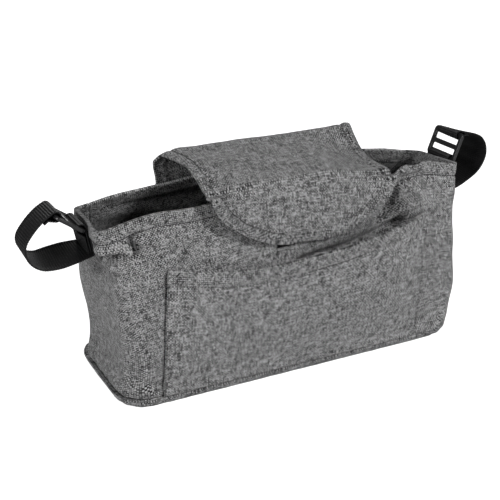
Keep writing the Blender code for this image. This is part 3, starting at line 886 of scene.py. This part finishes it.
def wall_relief(point, facing, top):
    """Everything that makes a wall uneven: slack, folds, the hem's stitched line, the foot and
    the channels in which the pocket's seams lie."""
    below = top - point.z
    above = point.z - FOOT_HEIGHT
    middle = ease(below / CALM_REACH) * ease(above / CALM_REACH)
    total = slack(point, (WALL_LUMP,), 1.0) * (CALM + (1 - CALM) * middle)
    total += slack(point, WALL_LUMPS, 2.0)
    total += puckered(point, below - HEM_DEPTH, *HEM_PUCKER)
    total += puckered(point, above, *FOOT_PUCKER)
    total += rolls(below, HEM_ROLLS) + rolls(above, FOOT_ROLLS)
    if point.y < FRONT_BEFORE:
        for seam, height, depth, lean in CHANNELS:
            away = point.x - seam - lean * (point.z / height) ** 2
            reached = ease((height + CHANNEL_END - point.z) / CHANNEL_FADE)
            total -= depth * nearby(away, CHANNEL_WIDTH) * reached
    return facing * total + fold_relief(point, facing, wall_folds)


def make_wall(name, stops, finish):
    tops = [wall_point(stop, 1.0).z for stop in stops]

    def place(column, row):
        spot = wall_point(stops[column], wall_shares[row])
        if spot.y < 0 and math.sin(stops[column][3]) < -0.5:
            for x, reach, lift in RIM_HUMPS:
                spot.z += lift * nearby(spot.x - x, reach) * wall_shares[row] ** RIM_HUMP_POWER
        return spot

    def hem(column, row):
        return ease((band(column, row) + HEM_STEP / 2) / HEM_STEP)

    def band(column, row):
        return HEM_DEPTH - (1 - wall_shares[row]) * WALL_HEIGHT

    return lay_cloth(name, place, len(stops) - 1, len(wall_shares) - 1, CLOTH, -1, finish,
                     lambda point, facing, column, row: wall_relief(point, facing, tops[column]),
                     hem, band)


run = BASE_LENGTH - 2 * BASE_CORNER
seam_in = (SEAM_INSET - SEAM_GAP / 2) / run
seam_out = (SEAM_INSET + SEAM_GAP / 2) / run
short_run = BASE_DEPTH - 2 * BASE_CORNER
wrap_stops = straight_stops(LEFT_BACK, RIGHT_BACK, QUARTER, SEAM_INSET, seam_in, 0.0)
wrap_stops += corner_stops(LEFT_BACK, QUARTER)
wrap_stops += straight_stops(LEFT_BACK, LEFT_FRONT, 2 * QUARTER, short_run)
wrap_stops += corner_stops(LEFT_FRONT, 2 * QUARTER)
wrap_stops += straight_stops(LEFT_FRONT, RIGHT_FRONT, 3 * QUARTER, run * CREASED_PART,
                             0.0, CREASED_PART, CREASED_STEP)
wrap_stops += straight_stops(LEFT_FRONT, RIGHT_FRONT, 3 * QUARTER, run * (1 - CREASED_PART),
                             CREASED_PART, 1.0)[1:]
wrap_stops += corner_stops(RIGHT_FRONT, 3 * QUARTER)
wrap_stops += straight_stops(RIGHT_FRONT, RIGHT_BACK, 4 * QUARTER, short_run)
wrap_stops += corner_stops(RIGHT_BACK, 4 * QUARTER)
wrap_stops += straight_stops(RIGHT_BACK, LEFT_BACK, QUARTER, SEAM_INSET, 0.0, seam_in)
back_stops = straight_stops(RIGHT_BACK, LEFT_BACK, QUARTER, run, seam_out, 1.0 - seam_out)

wall_cloth = heather("heather_walls", 1.0)
wrap_panel, wrap_face = make_wall("front_and_ends", wrap_stops, wall_cloth)
back_wall, back_face = make_wall("back_wall", back_stops, wall_cloth)
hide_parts("body_panel")
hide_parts("back_panel")

hem_seams = []
for stops, found in ((wrap_stops, wrap_face), (back_stops, back_face)):
    line = []
    for stop in stops[::3]:
        line.append(wall_point(stop, 1.0) - Vector((0, 0, HEM_DEPTH)))
    hem_seams.append(on_cloth(found, line, 0.0003))
    hem_seams.append(on_cloth(found, line, -CLOTH - 0.0004))
sew("hem_stitches", hem_seams, gap=CLOSE_GAP, width=HEM_THREAD)
for panel in (wrap_panel, back_wall):
    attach(panel, "root")

# Front pocket: a flat panel laid on the front, held at its foot and topstitched down both sides.
# Its mouth is hemmed and hangs open, most of all towards the right, where it has slipped down,
# and its top right corner is held by a bar tack.
POCKET_GAPE = (0.0, 0.001, 0.003, 0.007, 0.012, 0.0180, 0.0215, 0.017, 0.0)
GAPE_POWER = 1.4
POCKET_HEM = 0.0145
POCKET_MARGIN = 0.0013
POCKET_STEP = 0.0017
# How far from its seams the pocket's cloth is held, and the share of its height at the foot
POCKET_HELD = 0.02
POCKET_FOOT_HELD = 0.15
POCKET_EDGE = 0.006
POCKET_HEM_STEP = 0.002
# The pocket's cloth is painted a little lighter: painted light
POCKET_PAINTED_LIGHT = 1.03
POCKET_LUMP = (0.0009, (0.055, 0.055, 0.045))
POCKET_SMALL_LUMP = (0.0004, (0.018, 0.018, 0.022))
POCKET_PUCKER = (0.0003, 0.006, (0.007, 0.007, 0.007), 13.0)
POCKET_ROLLS = ((POCKET_HEM, -0.0005, 0.0014),)
# The bar tack's rows below the mouth, how far in they start, their length and their stitch
TACK_ROWS = (0.0008, 0.0015, 0.0022)
TACK_INSET = 0.0055
TACK_LENGTH = 0.005
TACK_STITCH = 0.002
POCKET_FOLDS = (
    (((-120, -69, 105), (-70, -73, 95), (-30, -75, 98)), 12, 1.2, 0),
    (((-40, -73, 60), (30, -75, 50), (90, -72, 60)), 16, 1.2, 0),
    (((-110, -66, 30), (-50, -67, 24), (20, -67, 30)), 12, -1, 0),
    (((102, -72, 129), (108, -70, 130), (115, -68, 131)), 2.6, 1.6, 0),
    (((60, -78, 103), (95, -74, 111), (120, -68, 122)), 8, -1.2, 0),
    (((50, -74, 85), (90, -70, 95), (120, -66, 108)), 10, 1, 0),
)
pocket_folds = ready(POCKET_FOLDS)
pocket_columns = round((POCKET_RIGHT - POCKET_LEFT) / POCKET_STEP)
pocket_rows = round(max(POCKET_TOP) / POCKET_STEP)


def pocket_place(column, row):
    across = column / pocket_columns
    up = row / pocket_rows
    x = POCKET_LEFT + (POCKET_RIGHT - POCKET_LEFT) * across + POCKET_LEAN * up ** 2 * (1 - across)
    foot = FOOT_HEIGHT + SEAM_GAP
    z = foot + (smooth_value(POCKET_TOP, across) - foot) * up
    gape = max(smooth_value(POCKET_GAPE, across), 0.0) * up ** GAPE_POWER
    wall, _, _, _ = wrap_face.find_nearest(Vector((x, front_y(height_share(z, max(FRONT_RIM))), z)))
    flat = front_y(height_share(z, rim_height(x, FRONT_RIM))) - FOOT_GAP - gape
    side = min(column, pocket_columns - column) * POCKET_STEP
    free = ease(side / POCKET_HELD) * ease(up / POCKET_FOOT_HELD)
    y = wall.y - FOOT_GAP - gape
    return Vector((x, min(y + (flat - y) * free, wall.y - FOOT_GAP), z))


def pocket_relief(point, facing, column, row):
    side = min(column, pocket_columns - column) * POCKET_STEP
    down = (1 - row / pocket_rows) * (max(POCKET_TOP) - FOOT_HEIGHT)
    free = ease(side / POCKET_HELD) * ease((point.z - FOOT_HEIGHT) / POCKET_HELD)
    total = rolls(down, POCKET_ROLLS) + puckered(point, side, *POCKET_PUCKER)
    for lump, seed, share in ((POCKET_LUMP, 11.0, free),
                              (POCKET_SMALL_LUMP, 12.0, ease(side / POCKET_EDGE))):
        total += (lump[0] + slack(point, (lump,), seed)) * share
    return facing * max(total, 0.0) + fold_relief(point, facing, pocket_folds)


def pocket_band(column, row):
    return POCKET_HEM - (1 - row / pocket_rows) * (max(POCKET_TOP) - FOOT_HEIGHT)


pocket, pocket_face = lay_cloth(
    "pocket_panel", pocket_place, pocket_columns, pocket_rows, CLOTH, 1,
    heather("heather_pocket", POCKET_PAINTED_LIGHT), pocket_relief,
    lambda column, row: ease(pocket_band(column, row) / POCKET_HEM_STEP), pocket_band)
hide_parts("front_pocket")
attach(pocket, "root")

left_seam, right_seam, mouth_seam = [], [], []
for row in range(pocket_rows + 1):
    left_seam.append(pocket_place(0, row) + Vector((POCKET_MARGIN, 0, 0)))
    right_seam.append(pocket_place(pocket_columns, row) - Vector((POCKET_MARGIN, 0, 0)))
for column in range(0, pocket_columns + 1, 2):
    mouth_seam.append(pocket_place(column, pocket_rows) - Vector((0, 0, POCKET_HEM)))
sew("pocket_stitches", [on_cloth(pocket_face, seam, CLOTH + 0.0001)
                        for seam in (left_seam, mouth_seam)])
sew("pocket_right_stitches", [on_cloth(pocket_face, right_seam, CLOTH)], heather_thread)
tacks = []
for shift in TACK_ROWS:
    inner = pocket_place(pocket_columns, pocket_rows) - Vector((TACK_INSET, 0, shift))
    tacks.append([inner + Vector((TACK_LENGTH * step / 4, 0, 0)) for step in range(5)])
sew("bar_tack", [on_cloth(pocket_face, seam, CLOTH + 0.0002) for seam in tacks],
    stitch=TACK_STITCH)

# Hook and loop patches: black tape, the loop half sewn to the front wall and the hook half under
# the flap. Only a sliver of the lower one shows beneath the flap's edge.
PATCH_WIDTH = 0.050
PATCH_HEIGHT = 0.025
PATCH_SHOW = 0.0030
PATCH_CLOTH = 0.0012
PATCH_STEP = 0.0010
FLAP_CENTRE = -0.0035
PATCH_TILT = 0.0012
PATCH_MARGIN = 0.002
PATCH_TUFT = (0.00025, (0.0012, 0.0012, 0.0012))
PATCH_ROLLS = ((PATCH_MARGIN, -0.0002, 0.0008),)
FRONT_BEND = 0.1812
FLAP_DROP = 0.0512
TAPE_BLACK = (0.0055, 0.0055, 0.006)
TAPE_FUZZ = 1500.0

pile, tree, shader = new_finish("tape_pile", 0.95, 0.15)
place = node_after(tree, "ShaderNodeTexCoord").outputs["Object"]
fuzz = speckle(tree, place, TAPE_FUZZ, 4.0)
dye(tree, shader, TAPE_BLACK, ranged(tree, fuzz, 0.5, 1.9))
roughen(tree, shader, fuzz, 0.9, 0.0004)

patch_columns = round(PATCH_WIDTH / PATCH_STEP)
patch_rows = round(PATCH_HEIGHT / PATCH_STEP)
for patch_name, node_name, stand, lift in (
    ("loop_tape", "front_loop_patch", FOOT_GAP, 0.0),
    ("hook_tape", "flap_hook_patch", PATCH_CLOTH + 2 * FOOT_GAP, 0.009),
):
    foot = FRONT_BEND - FLAP_DROP - PATCH_SHOW + lift

    def patch_place(column, row, stand=stand, foot=foot):
        x = FLAP_CENTRE + PATCH_WIDTH * (column / patch_columns - 0.5)
        z = foot + PATCH_HEIGHT * row / patch_rows
        z += PATCH_TILT * (2 * column / patch_columns - 1)
        y = front_y(height_share(z, rim_height(x, FRONT_RIM)))
        wall, _, _, _ = wrap_face.find_nearest(Vector((x, y, z)))
        return Vector((x, min(y, wall.y) - stand, z))

    def patch_relief(point, facing, column, row):
        side = min(column, patch_columns - column, row, patch_rows - row) * PATCH_STEP
        tuft = slack(point, (PATCH_TUFT,), 21.0)
        return facing * (tuft * ease(side / PATCH_MARGIN) + rolls(side, PATCH_ROLLS))

    patch, _ = lay_cloth(patch_name, patch_place, patch_columns, patch_rows, PATCH_CLOTH, 1,
                         pile, patch_relief)
    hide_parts(node_name)
    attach(patch, "root")

# Flap: a single panel of the heather, sewn to the back wall just under its rim. It stands up as a
# ridge, crosses the opening and falls over the front as a rounded tongue. Its edge is bound with
# the same cloth folded under, so that a stitched line follows it a finger's width inside.
FLAP_WIDTH = 0.175
FLAP_BACK_WIDTH = 0.190
FLAP_BACK_CENTRE = -0.0105
FLAP_CLOTH = 0.0022
FLAP_SEAM = 0.015
RIDGE_HEIGHT = 0.2005
RIDGE_Y = 0.010
RIDGE_ROUND = 0.005
RIDGE_DROOP = 0.005
DROOP_LENGTH = 0.022
FLAP_LEFT_LIFT = (0.0, 0.0025, 0.0050, 0.0030, -0.0015)
FLAP_RIGHT_LIFT = (0.0, -0.0110, -0.0138, -0.0112, -0.0078)
SLACK_START = 0.020
TONGUE_POWER = 1.9
TONGUE_TILT = 0.004
TIP_WIDTH = 0.030
FLAP_STEP = 0.0014
FLAP_BORDER = 0.0082
# The flap's cloth is painted a little darker: painted shade
FLAP_PAINTED_SHADE = 0.95
# The flap's underside is a far darker copy of the same cloth: painted shade beneath the flap
UNDERSIDE_PAINTED_SHADE = 0.50
FLAP_CURL = 0.0100
FLAP_CURL_WIDTH = 0.022
FLAP_CURL_FROM = 0.2
FLAP_PADDING = 0.0006
BORDER_END = 0.004
BORDER_SHARE = 0.985
TIP_STEPS = 40
FLAP_LUMPS = ((0.0010, (0.060, 0.045, 0.040)), (0.0005, (0.022, 0.020, 0.020)),
              (0.0002, (0.008, 0.008, 0.008)))
FLAP_PUCKER = (0.00035, 0.006, (0.007, 0.007, 0.007), 34.0)
FLAP_ROLLS = ((FLAP_BORDER, -0.0013, 0.0013), (FLAP_BORDER / 2, 0.0009, FLAP_BORDER / 2.6))
LEAN_STEP = 0.02
BACK_SPANS = 4
FLAP_STAND = 2 * PATCH_CLOTH + 3 * FOOT_GAP
FLAP_FOLDS = (
    (((-70, -58, 185), (-20, -52, 188), (30, -60, 186)), 12, 1.4, 0),
    (((50, -30, 190), (72, -45, 183), (84, -62, 172)), 10, 1.2, 0),
    (((-60, -10, 196), (0, -20, 193), (60, -10, 195)), 16, -1.2, 0),
    (((-60, -70, 162), (0, -71, 154), (55, -70, 162)), 18, 1, 0),
    (((-40, -71, 145), (10, -71, 140), (50, -71, 148)), 9, -0.6, 0),
    (((52, -71, 140), (68, -70, 152), (78, -68, 164)), 3.4, -1.4, 0),
)
flap_folds = ready(FLAP_FOLDS)


def flap_lift(x, part):
    """How far a side of the flap is above the straight line, part of the way to its bend."""
    away = (abs(x - FLAP_CENTRE) - SLACK_START) / (FLAP_WIDTH / 2 - SLACK_START)
    lifts = FLAP_LEFT_LIFT if x < FLAP_CENTRE else FLAP_RIGHT_LIFT
    return ease(away) * smooth_value(lifts, part)


def flap_line(x):
    """The flap's inner face in the plane across the bag at x, from its seam to its tip."""
    back_top = rim_height(x, BACK_RIM)
    front_top = rim_height(x, FRONT_RIM)
    bend = FRONT_BEND + flap_lift(x, 1.0)
    corner = FLAP_BACK_CENTRE - FLAP_BACK_WIDTH / 2
    line = []
    for below in (FLAP_SEAM, FLAP_SEAM / 2, 0.0008):
        share = height_share(back_top - below, back_top)
        lean = back_y(share) - back_y(share - LEAN_STEP)
        lean /= LEAN_STEP * (back_top - FOOT_HEIGHT)
        across = Vector((1.0, -lean)).normalized() * 2 * FOOT_GAP
        line.append((back_y(share) + across.x, back_top - below + across.y))
    ridge = RIDGE_HEIGHT - RIDGE_DROOP * ease(1.0 - (x - corner) / DROOP_LENGTH)
    line.append((RIDGE_Y, (back_top + ridge) / 2 + RIDGE_ROUND / 4))
    line.append((RIDGE_Y, ridge - RIDGE_ROUND))
    line.append((RIDGE_Y - RIDGE_ROUND, ridge))
    rim_y = front_y(1.0)
    for part in (0.15, 0.3, 0.5, 0.75):
        y = RIDGE_Y - RIDGE_ROUND + (rim_y - RIDGE_Y + RIDGE_ROUND) * part
        line.append((y, ridge + (FRONT_BEND - ridge) * part + flap_lift(x, part)))
    line.append((rim_y + HEM, bend + 3 * FOOT_GAP))
    line.append((rim_y - FOOT_GAP, bend + 2 * FOOT_GAP))
    line.append((rim_y - 5 * FOOT_GAP, bend - 5 * FOOT_GAP))
    tip = FRONT_BEND - FLAP_DROP - TONGUE_TILT * (x - FLAP_CENTRE) / (FLAP_WIDTH / 2)
    for part in (0.25, 0.5, 0.75, 1.0):
        z = bend + (tip - bend) * part
        line.append((front_y(height_share(z, front_top)) - FLAP_STAND, z))
    return line


def flap_spot(x, way):
    """A point of the flap at x, a share of the way from its seam to its tip."""
    line = flap_line(x)
    return Vector((x, smooth_value([p[0] for p in line], way),
                   smooth_value([p[1] for p in line], way)))


flap_spans = len(flap_line(0.0)) - 1
flap_ways = []
for span in range(flap_spans):
    first, last = [flap_spot(FLAP_CENTRE, (span + end) / flap_spans) for end in (0, 1)]
    flap_ways += [(span + share) / flap_spans
                  for share in rows_between(0.0, 1.0, FLAP_STEP / (last - first).length)]
flap_ways.append(1.0)
flap_rows = len(flap_ways) - 1
flap_columns = round(FLAP_WIDTH / FLAP_STEP)
back_way = BACK_SPANS / flap_spans
tongue_way = 1.0 - BACK_SPANS / flap_spans
tongue_cut = (1.0 - (TIP_WIDTH / FLAP_WIDTH) ** TONGUE_POWER) ** (1.0 / TONGUE_POWER)


def flap_half(way):
    """The flap's middle and half its width, a share of the way down it."""
    down = max(way - tongue_way, 0.0) / (1.0 - tongue_way) * tongue_cut
    forward = 1 - (1 - min(max(way - back_way, 0.0) / (tongue_way - back_way), 1.0)) ** 3
    half = (FLAP_BACK_WIDTH + (FLAP_WIDTH - FLAP_BACK_WIDTH) * forward) / 2
    half *= (1.0 - down ** TONGUE_POWER) ** (1.0 / TONGUE_POWER)
    return FLAP_BACK_CENTRE + (FLAP_CENTRE - FLAP_BACK_CENTRE) * forward, half


def flap_x(row, aside):
    """The X of a place on one of the flap's rows, from -1 at its left side to 1 at its right."""
    middle, half = flap_half(flap_ways[row])
    return middle + half * aside


flap_down = lengths_along([flap_spot(FLAP_CENTRE, way) for way in flap_ways])
left_edge, right_edge = [
    [Vector((flap_x(row, side), down, 0.0)) for row, down in enumerate(flap_down)]
    for side in (-1, 1)]
tip_line = [left_edge[-1].lerp(right_edge[-1], step / TIP_STEPS)
            for step in range(1, TIP_STEPS)]
flap_outline = left_edge + tip_line + list(reversed(right_edge))
outline_tree = KDTree(len(flap_outline))
for number, point in enumerate(flap_outline):
    outline_tree.insert(point, number)
outline_tree.balance()


def flap_place(column, row):
    return flap_spot(flap_x(row, 1 - 2 * column / flap_columns), flap_ways[row])


def flap_band(column, row):
    spot = Vector((flap_x(row, 1 - 2 * column / flap_columns), flap_down[row], 0.0))
    return FLAP_BORDER - outline_tree.find(spot)[2]


def flap_relief(point, facing, column, row):
    edge = FLAP_BORDER - flap_band(column, row)
    low = flap_ways[row] > tongue_way
    total = slack(point, FLAP_LUMPS, 31.0) + rolls(edge, FLAP_ROLLS)
    total += puckered(point, edge - FLAP_BORDER, *FLAP_PUCKER)
    if low:
        aside = ease(abs(point.x - FLAP_CENTRE) / (FLAP_WIDTH / 2) - FLAP_CURL_FROM)
        total = max(total + FLAP_PADDING, 0.0)
        total += FLAP_CURL * aside * ease(1 - edge / FLAP_CURL_WIDTH)
    return facing * total + fold_relief(point, facing, flap_folds)


flap, flap_face = lay_cloth("closing_flap", flap_place, flap_columns, flap_rows, FLAP_CLOTH, 1,
                            heather("heather_flap", FLAP_PAINTED_SHADE), flap_relief, None, flap_band,
                            flap_down, heather("heather_painted_underside_shade", UNDERSIDE_PAINTED_SHADE))
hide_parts("flap")
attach(flap, "root")

border = []
for index in range(1, len(flap_outline) - 1):
    run = (flap_outline[index + 1] - flap_outline[index - 1]).normalized()
    spot = flap_outline[index] + Vector((run.y, -run.x, 0.0)) * FLAP_BORDER
    if spot.y < BORDER_END or outline_tree.find(spot)[2] < BORDER_SHARE * FLAP_BORDER:
        continue
    row = min(bisect.bisect_left(flap_down, spot.y), flap_rows)
    border.append(flap_spot(spot.x, flap_ways[row]))
seam_row = min(bisect.bisect_left(flap_down, BORDER_END), flap_rows)
back_seam = [flap_place(column, seam_row) for column in range(3, flap_columns - 2, 2)]
sew("flap_stitches", [on_cloth(flap_face, seam, FLAP_CLOTH + 0.0003)
                      for seam in (border, back_seam)], gap=CLOSE_GAP, width=FLAP_THREAD)

# Webbing: black polypropylene tape, woven with ribs across it. At each end a long strap is sewn
# to the wall, makes a loose loop and passes round the upper bar of a ladder buckle, and a short
# tab holds the buckle's lower bar to the wall.
WEBBING = 0.0015
WEBBING_WIDTH = 0.030
STRAP_Y = -0.026
SEWN_DEPTH = 0.027
SEWN_LENGTH = 0.018
SEWN_BEND = 0.003
TAB_DEPTH = 0.0225
TAIL_LENGTH = 0.012
BUCKLE_SLOT_LENGTH = 0.0325
BUCKLE_SLOT = 0.0072
BUCKLE_BAR = 0.0045
BUCKLE_RAIL = 0.004
BUCKLE_THICK = 0.003
BUCKLE_ROUND = 0.004
BUCKLE_SLOT_ROUND = 0.0012
BUCKLE_EDGE = 0.0009
# The sewn square's stitches, as a length, a gap and a width, how far it lies inside the tape's
# edges, and where it starts and ends above the tab's foot
BOX_STITCH = (0.0022, 0.0008, 0.0006)
BOX_INSET = 0.003
BOX_FROM, BOX_TO = 0.0015, 0.0125
WRAP_CLEARANCE = 0.0004
WRAP_STEPS = 24
RIB = 0.0021
RIB_STEPS = 5
RIB_RISE = 0.00055
RIB_EDGE = 0.05
# Where the loop's tail leaves the bar and shows, in radii of the wrap, and how far off it lies, in
# plies
TAIL_LEAVES = 2.5
TAIL_FROM = 1.6
TAIL_OFF = 1.3
LEFT_LOOP = (
    (0.0175, -0.0035), (0.0300, -0.0056), (0.0430, -0.0048), (0.0520, 0.0008),
    (0.0564, 0.0090), (0.0555, 0.0185), (0.0485, 0.0282), (0.0400, 0.0362),
)
RIGHT_LOOP = (
    (0.0150, -0.0020), (0.0300, 0.0040), (0.0420, 0.0120), (0.0485, 0.0230),
    (0.0485, 0.0340), (0.0435, 0.0425), (0.0350, 0.0475),
)
# Each end's side and name, its loop, where its lower bar is from the rim, how steeply the buckle
# stands, how far the loop is twisted and over what part of its length
LADDERS = (
    (-1, "left", LEFT_LOOP, (0.0068, -0.0030), math.radians(35.0), 0.30, 0.62),
    (1, "right", RIGHT_LOOP, (0.0047, -0.0001), math.radians(69.0), 0.28, 1.0),
)
WEB_DARK = (0.0048, 0.0048, 0.0052)
YARN_SCALE = (3300.0, 900.0, 1.0)
BLACK_THREAD = (0.012, 0.012, 0.013)
PLASTIC_BLACK = (0.0105, 0.0105, 0.011, 1.0)
PLASTIC_GRAIN = 1300.0

webbing, tree, shader = new_finish("ribbed_webbing", 0.62, 0.26)
place = node_after(tree, "ShaderNodeUVMap", uv_map="cloth").outputs[0]
fine = node_after(tree, "ShaderNodeMapping", place)
feed(tree, fine, {"Scale": YARN_SCALE})
yarn = speckle(tree, fine.outputs[0], 1.0, 3.0)
dye(tree, shader, WEB_DARK, ranged(tree, yarn, 0.55, 1.7, 0.25, 0.75))
roughen(tree, shader, yarn, 0.5, 0.00015)
black_thread = thread_finish("black_thread", BLACK_THREAD)

plastic, tree, shader = new_finish("moulded_black", 0.36)
place = node_after(tree, "ShaderNodeTexCoord").outputs["Object"]
grain = speckle(tree, place, PLASTIC_GRAIN)
feed(tree, shader, {"Base Color": PLASTIC_BLACK, "Roughness": ranged(tree, grain, 0.26, 0.46)})
roughen(tree, shader, grain, 0.25, 0.00006)


def smooth_path(points, steps):
    """Points of a smooth curve through the given ones, with some steps from each to the next."""
    last = len(points) - 1
    path = []
    for step in range(last * steps + 1):
        at = step / (last * steps)
        path.append(Vector([smooth_value([p[axis] for p in points], at) for axis in (0, 1)]))
    return path


def end_rim_height(side):
    end = 0 if side < 0 else -1
    return (FRONT_RIM[end] + BACK_RIM[end]) / 2


def face_point(side, z, off):
    """A point off the end wall's face, as (distance from the middle, height)."""
    top = end_rim_height(side)
    share = height_share(z, top)
    here = side * end_x(side, share)
    above = side * end_x(side, share + LEAN_STEP)
    normal = Vector((LEAN_STEP * (top - FOOT_HEIGHT), here - above)).normalized()
    return Vector((here, z)) + normal * off


def turn_about(centre, radius, start, end, way):
    """A line from start round a bar and away to end. way is 1 anticlockwise, -1 clockwise."""
    def touch(point, leaving):
        arm = point - centre
        swing = math.acos(min(radius / arm.length, 1.0))
        return math.atan2(arm.y, arm.x) + (-way if leaving else way) * swing

    first = touch(start, False)
    last = touch(end, True)
    while way * (last - first) < 0:
        last += way * 2 * math.pi
    turns = [first + (last - first) * step / WRAP_STEPS for step in range(WRAP_STEPS + 1)]
    return [centre + radius * Vector((math.cos(turn), math.sin(turn))) for turn in turns]


def even_path(path, step):
    """The path with a point at every step of its length."""
    lengths = lengths_along(path)
    count = round(lengths[-1] / step)
    even = []
    index = 0
    for number in range(count + 1):
        want = lengths[-1] * number / count
        while index < len(path) - 2 and lengths[index + 1] < want:
            index += 1
        span = lengths[index + 1] - lengths[index]
        even.append(path[index].lerp(path[index + 1], (want - lengths[index]) / span))
    return even


WEB_SECTION = (
    (-0.5, 0.0), (-0.497, 0.28), (-0.488, 0.46), (-0.470, 0.52), (-0.445, 0.46), (-0.3, 0.5),
    (-0.1, 0.5), (0.1, 0.5), (0.3, 0.5), (0.445, 0.46), (0.470, 0.52), (0.488, 0.46), (0.497, 0.28),
)


def weave_tape(name, path, side, twist):
    """Ribbed webbing along a path of (outward, height) points. twist(part) is how far the tape is
    turned about its front edge, part of the way along it."""
    line = even_path(path, RIB / RIB_STEPS)
    around = list(WEB_SECTION) + [(-across, -rise) for across, rise in WEB_SECTION]
    bm = bmesh.new()
    rings = []
    for index, point in enumerate(line):
        run = line[min(index + 1, len(line) - 1)] - line[max(index - 1, 0)]
        facing = Vector((-run.y, run.x)).normalized()
        rib = math.sin(math.pi * index / RIB_STEPS) ** 2
        turned = twist(index / (len(line) - 1))
        ring = []
        for across, rise in around:
            inner = min(1.0, (0.5 - abs(across)) / RIB_EDGE)
            lift = rise * WEBBING - math.copysign(RIB_RISE, rise) * (1 - rib) * inner
            lift += turned * (across + 0.5) * WEBBING_WIDTH
            spot = point + facing * lift
            y = STRAP_Y + across * WEBBING_WIDTH
            ring.append(bm.verts.new((side * spot.x, y, spot.y)))
        rings.append(ring)
    tape = tube(name, bm, rings, lambda row, step: (
        row * RIB / RIB_STEPS, around[step % len(around)][0] * WEBBING_WIDTH), webbing)
    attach(tape, "root")
    return tape


def box_stitch(side, low, high, off):
    """A sewn square with its diagonals, over the webbing's end."""
    half = WEBBING_WIDTH / 2 - BOX_INSET
    spots = []
    for across, z in ((-half, low), (half, low), (half, high), (-half, high)):
        flat = face_point(side, z, off)
        spots.append(Vector((side * flat.x, STRAP_Y + across, flat.y)))
    seams = []
    for first, last in ((0, 1), (1, 2), (2, 3), (3, 0), (0, 2), (1, 3)):
        seams.append([spots[first].lerp(spots[last], step / 12) for step in range(13)])
    return seams


def rounded_block(name, size, corner, segments, shift=0.0):
    """A block with rounded upright edges, shifted along X."""
    bm = bmesh.new()
    bmesh.ops.create_cube(bm, size=1.0)
    bmesh.ops.scale(bm, vec=size, verts=bm.verts)
    bmesh.ops.translate(bm, vec=(shift, 0, 0), verts=bm.verts)
    uprights = [e for e in bm.edges if abs(e.verts[0].co.z - e.verts[1].co.z) > size[2] / 2]
    bmesh.ops.bevel(bm, geom=uprights, offset=corner, segments=segments, profile=0.5,
                    affect="EDGES")
    return object_of(name, bm)


for side, label, loop, foot, angle, twist, twisted in LADDERS:
    pitch = BUCKLE_BAR + BUCKLE_SLOT
    up_plate = Vector((math.cos(angle), math.sin(angle)))
    rim_top = end_rim_height(side)
    sewn_foot = rim_top - SEWN_DEPTH
    tab_foot = rim_top - TAB_DEPTH
    low_bar = face_point(side, rim_top, 0.0) + Vector(foot)
    middle_bar = low_bar + up_plate * pitch
    high_bar = low_bar + up_plate * 2 * pitch
    wrap = math.hypot(BUCKLE_BAR, BUCKLE_THICK) / 2 + WRAP_CLEARANCE + WEBBING / 2
    first_ply = SEAM_GAP + FOOT_GAP + WEBBING / 2
    ply = WEBBING + FOOT_GAP
    leaves = face_point(side, sewn_foot, 0.0)
    sewn = [face_point(side, sewn_foot + SEWN_BEND + SEWN_LENGTH * part, first_ply)
            for part in (1.0, 0.75, 0.5, 0.25, 0.0)]
    bend = [leaves + Vector((first_ply + SEWN_BEND * (1 - math.cos(turn)),
                             SEWN_BEND * (1 - math.sin(turn))))
            for turn in (math.pi / 8, math.pi / 4, 3 * math.pi / 8)]
    free = [leaves + Vector(point) for point in loop]
    away = high_bar + Vector((TAIL_LEAVES * wrap, -wrap))
    wrapped = turn_about(high_bar, wrap, free[-1], away, 1)
    line = smooth_path(bend + free + [wrapped[0]], 12)
    tail = []
    distance = 0.0
    for index in range(len(line) - 2, 0, -1):
        distance += (line[index + 1] - line[index]).length
        if distance > TAIL_LENGTH:
            break
        run = (line[index - 1] - line[index + 1]).normalized()
        if distance > TAIL_FROM * wrap:
            tail.append(line[index] + Vector((run.y, -run.x)) * TAIL_OFF * ply)
    strap = weave_tape(label + "_loop", sewn + line + wrapped[1:] + tail, side,
                       lambda part: twist * math.sin(math.pi * min(part / twisted, 1.0)) ** 2)
    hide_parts(label + "_strap")

    up_ply = [face_point(side, tab_foot + TAB_DEPTH * part, first_ply + ply)
              for part in (0.0, 0.35, 0.7)]
    down_ply = [face_point(side, tab_foot + TAB_DEPTH * part, first_ply + 2 * ply)
                for part in (0.6, 0.35, 0.0)]
    round_bar = turn_about(low_bar, wrap, up_ply[-1], down_ply[0], -1)
    tab = weave_tape(label + "_tab", up_ply + round_bar + down_ply, side, lambda part: 0.0)
    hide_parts(label + "_buckle_tab")
    top_off = first_ply + 2 * ply + WEBBING / 2
    sew(label + "_box_stitch", box_stitch(side, tab_foot + BOX_FROM, tab_foot + BOX_TO, top_off),
        black_thread, *BOX_STITCH)

    plate = (2 * pitch + BUCKLE_BAR, BUCKLE_SLOT_LENGTH + 2 * BUCKLE_RAIL, BUCKLE_THICK)
    ladder = rounded_block(label + "_ladder", plate, BUCKLE_ROUND, 8)
    ladder.data.materials.append(plastic)
    for shift in (-pitch / 2, pitch / 2):
        hole = (BUCKLE_SLOT, BUCKLE_SLOT_LENGTH, 4 * BUCKLE_THICK)
        slot = rounded_block("slot", hole, BUCKLE_SLOT_ROUND, 3, shift)
        cut = ladder.modifiers.new("slot", "BOOLEAN")
        cut.operation = "DIFFERENCE"
        cut.solver = "EXACT"
        cut.object = slot
        made_plain(ladder)
        bpy.data.objects.remove(slot)
    round_edges(ladder, BUCKLE_EDGE, 4, 60)
    ladder.data.shade_smooth()
    middle = Vector((side * middle_bar.x, STRAP_Y, middle_bar.y))
    lean = Matrix.Rotation(-side * angle + (math.pi if side < 0 else 0.0), 4, "Y")
    ladder.data.transform(Matrix.Translation(middle) @ lean)
    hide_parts(label + "_buckle")
    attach(ladder, "root")
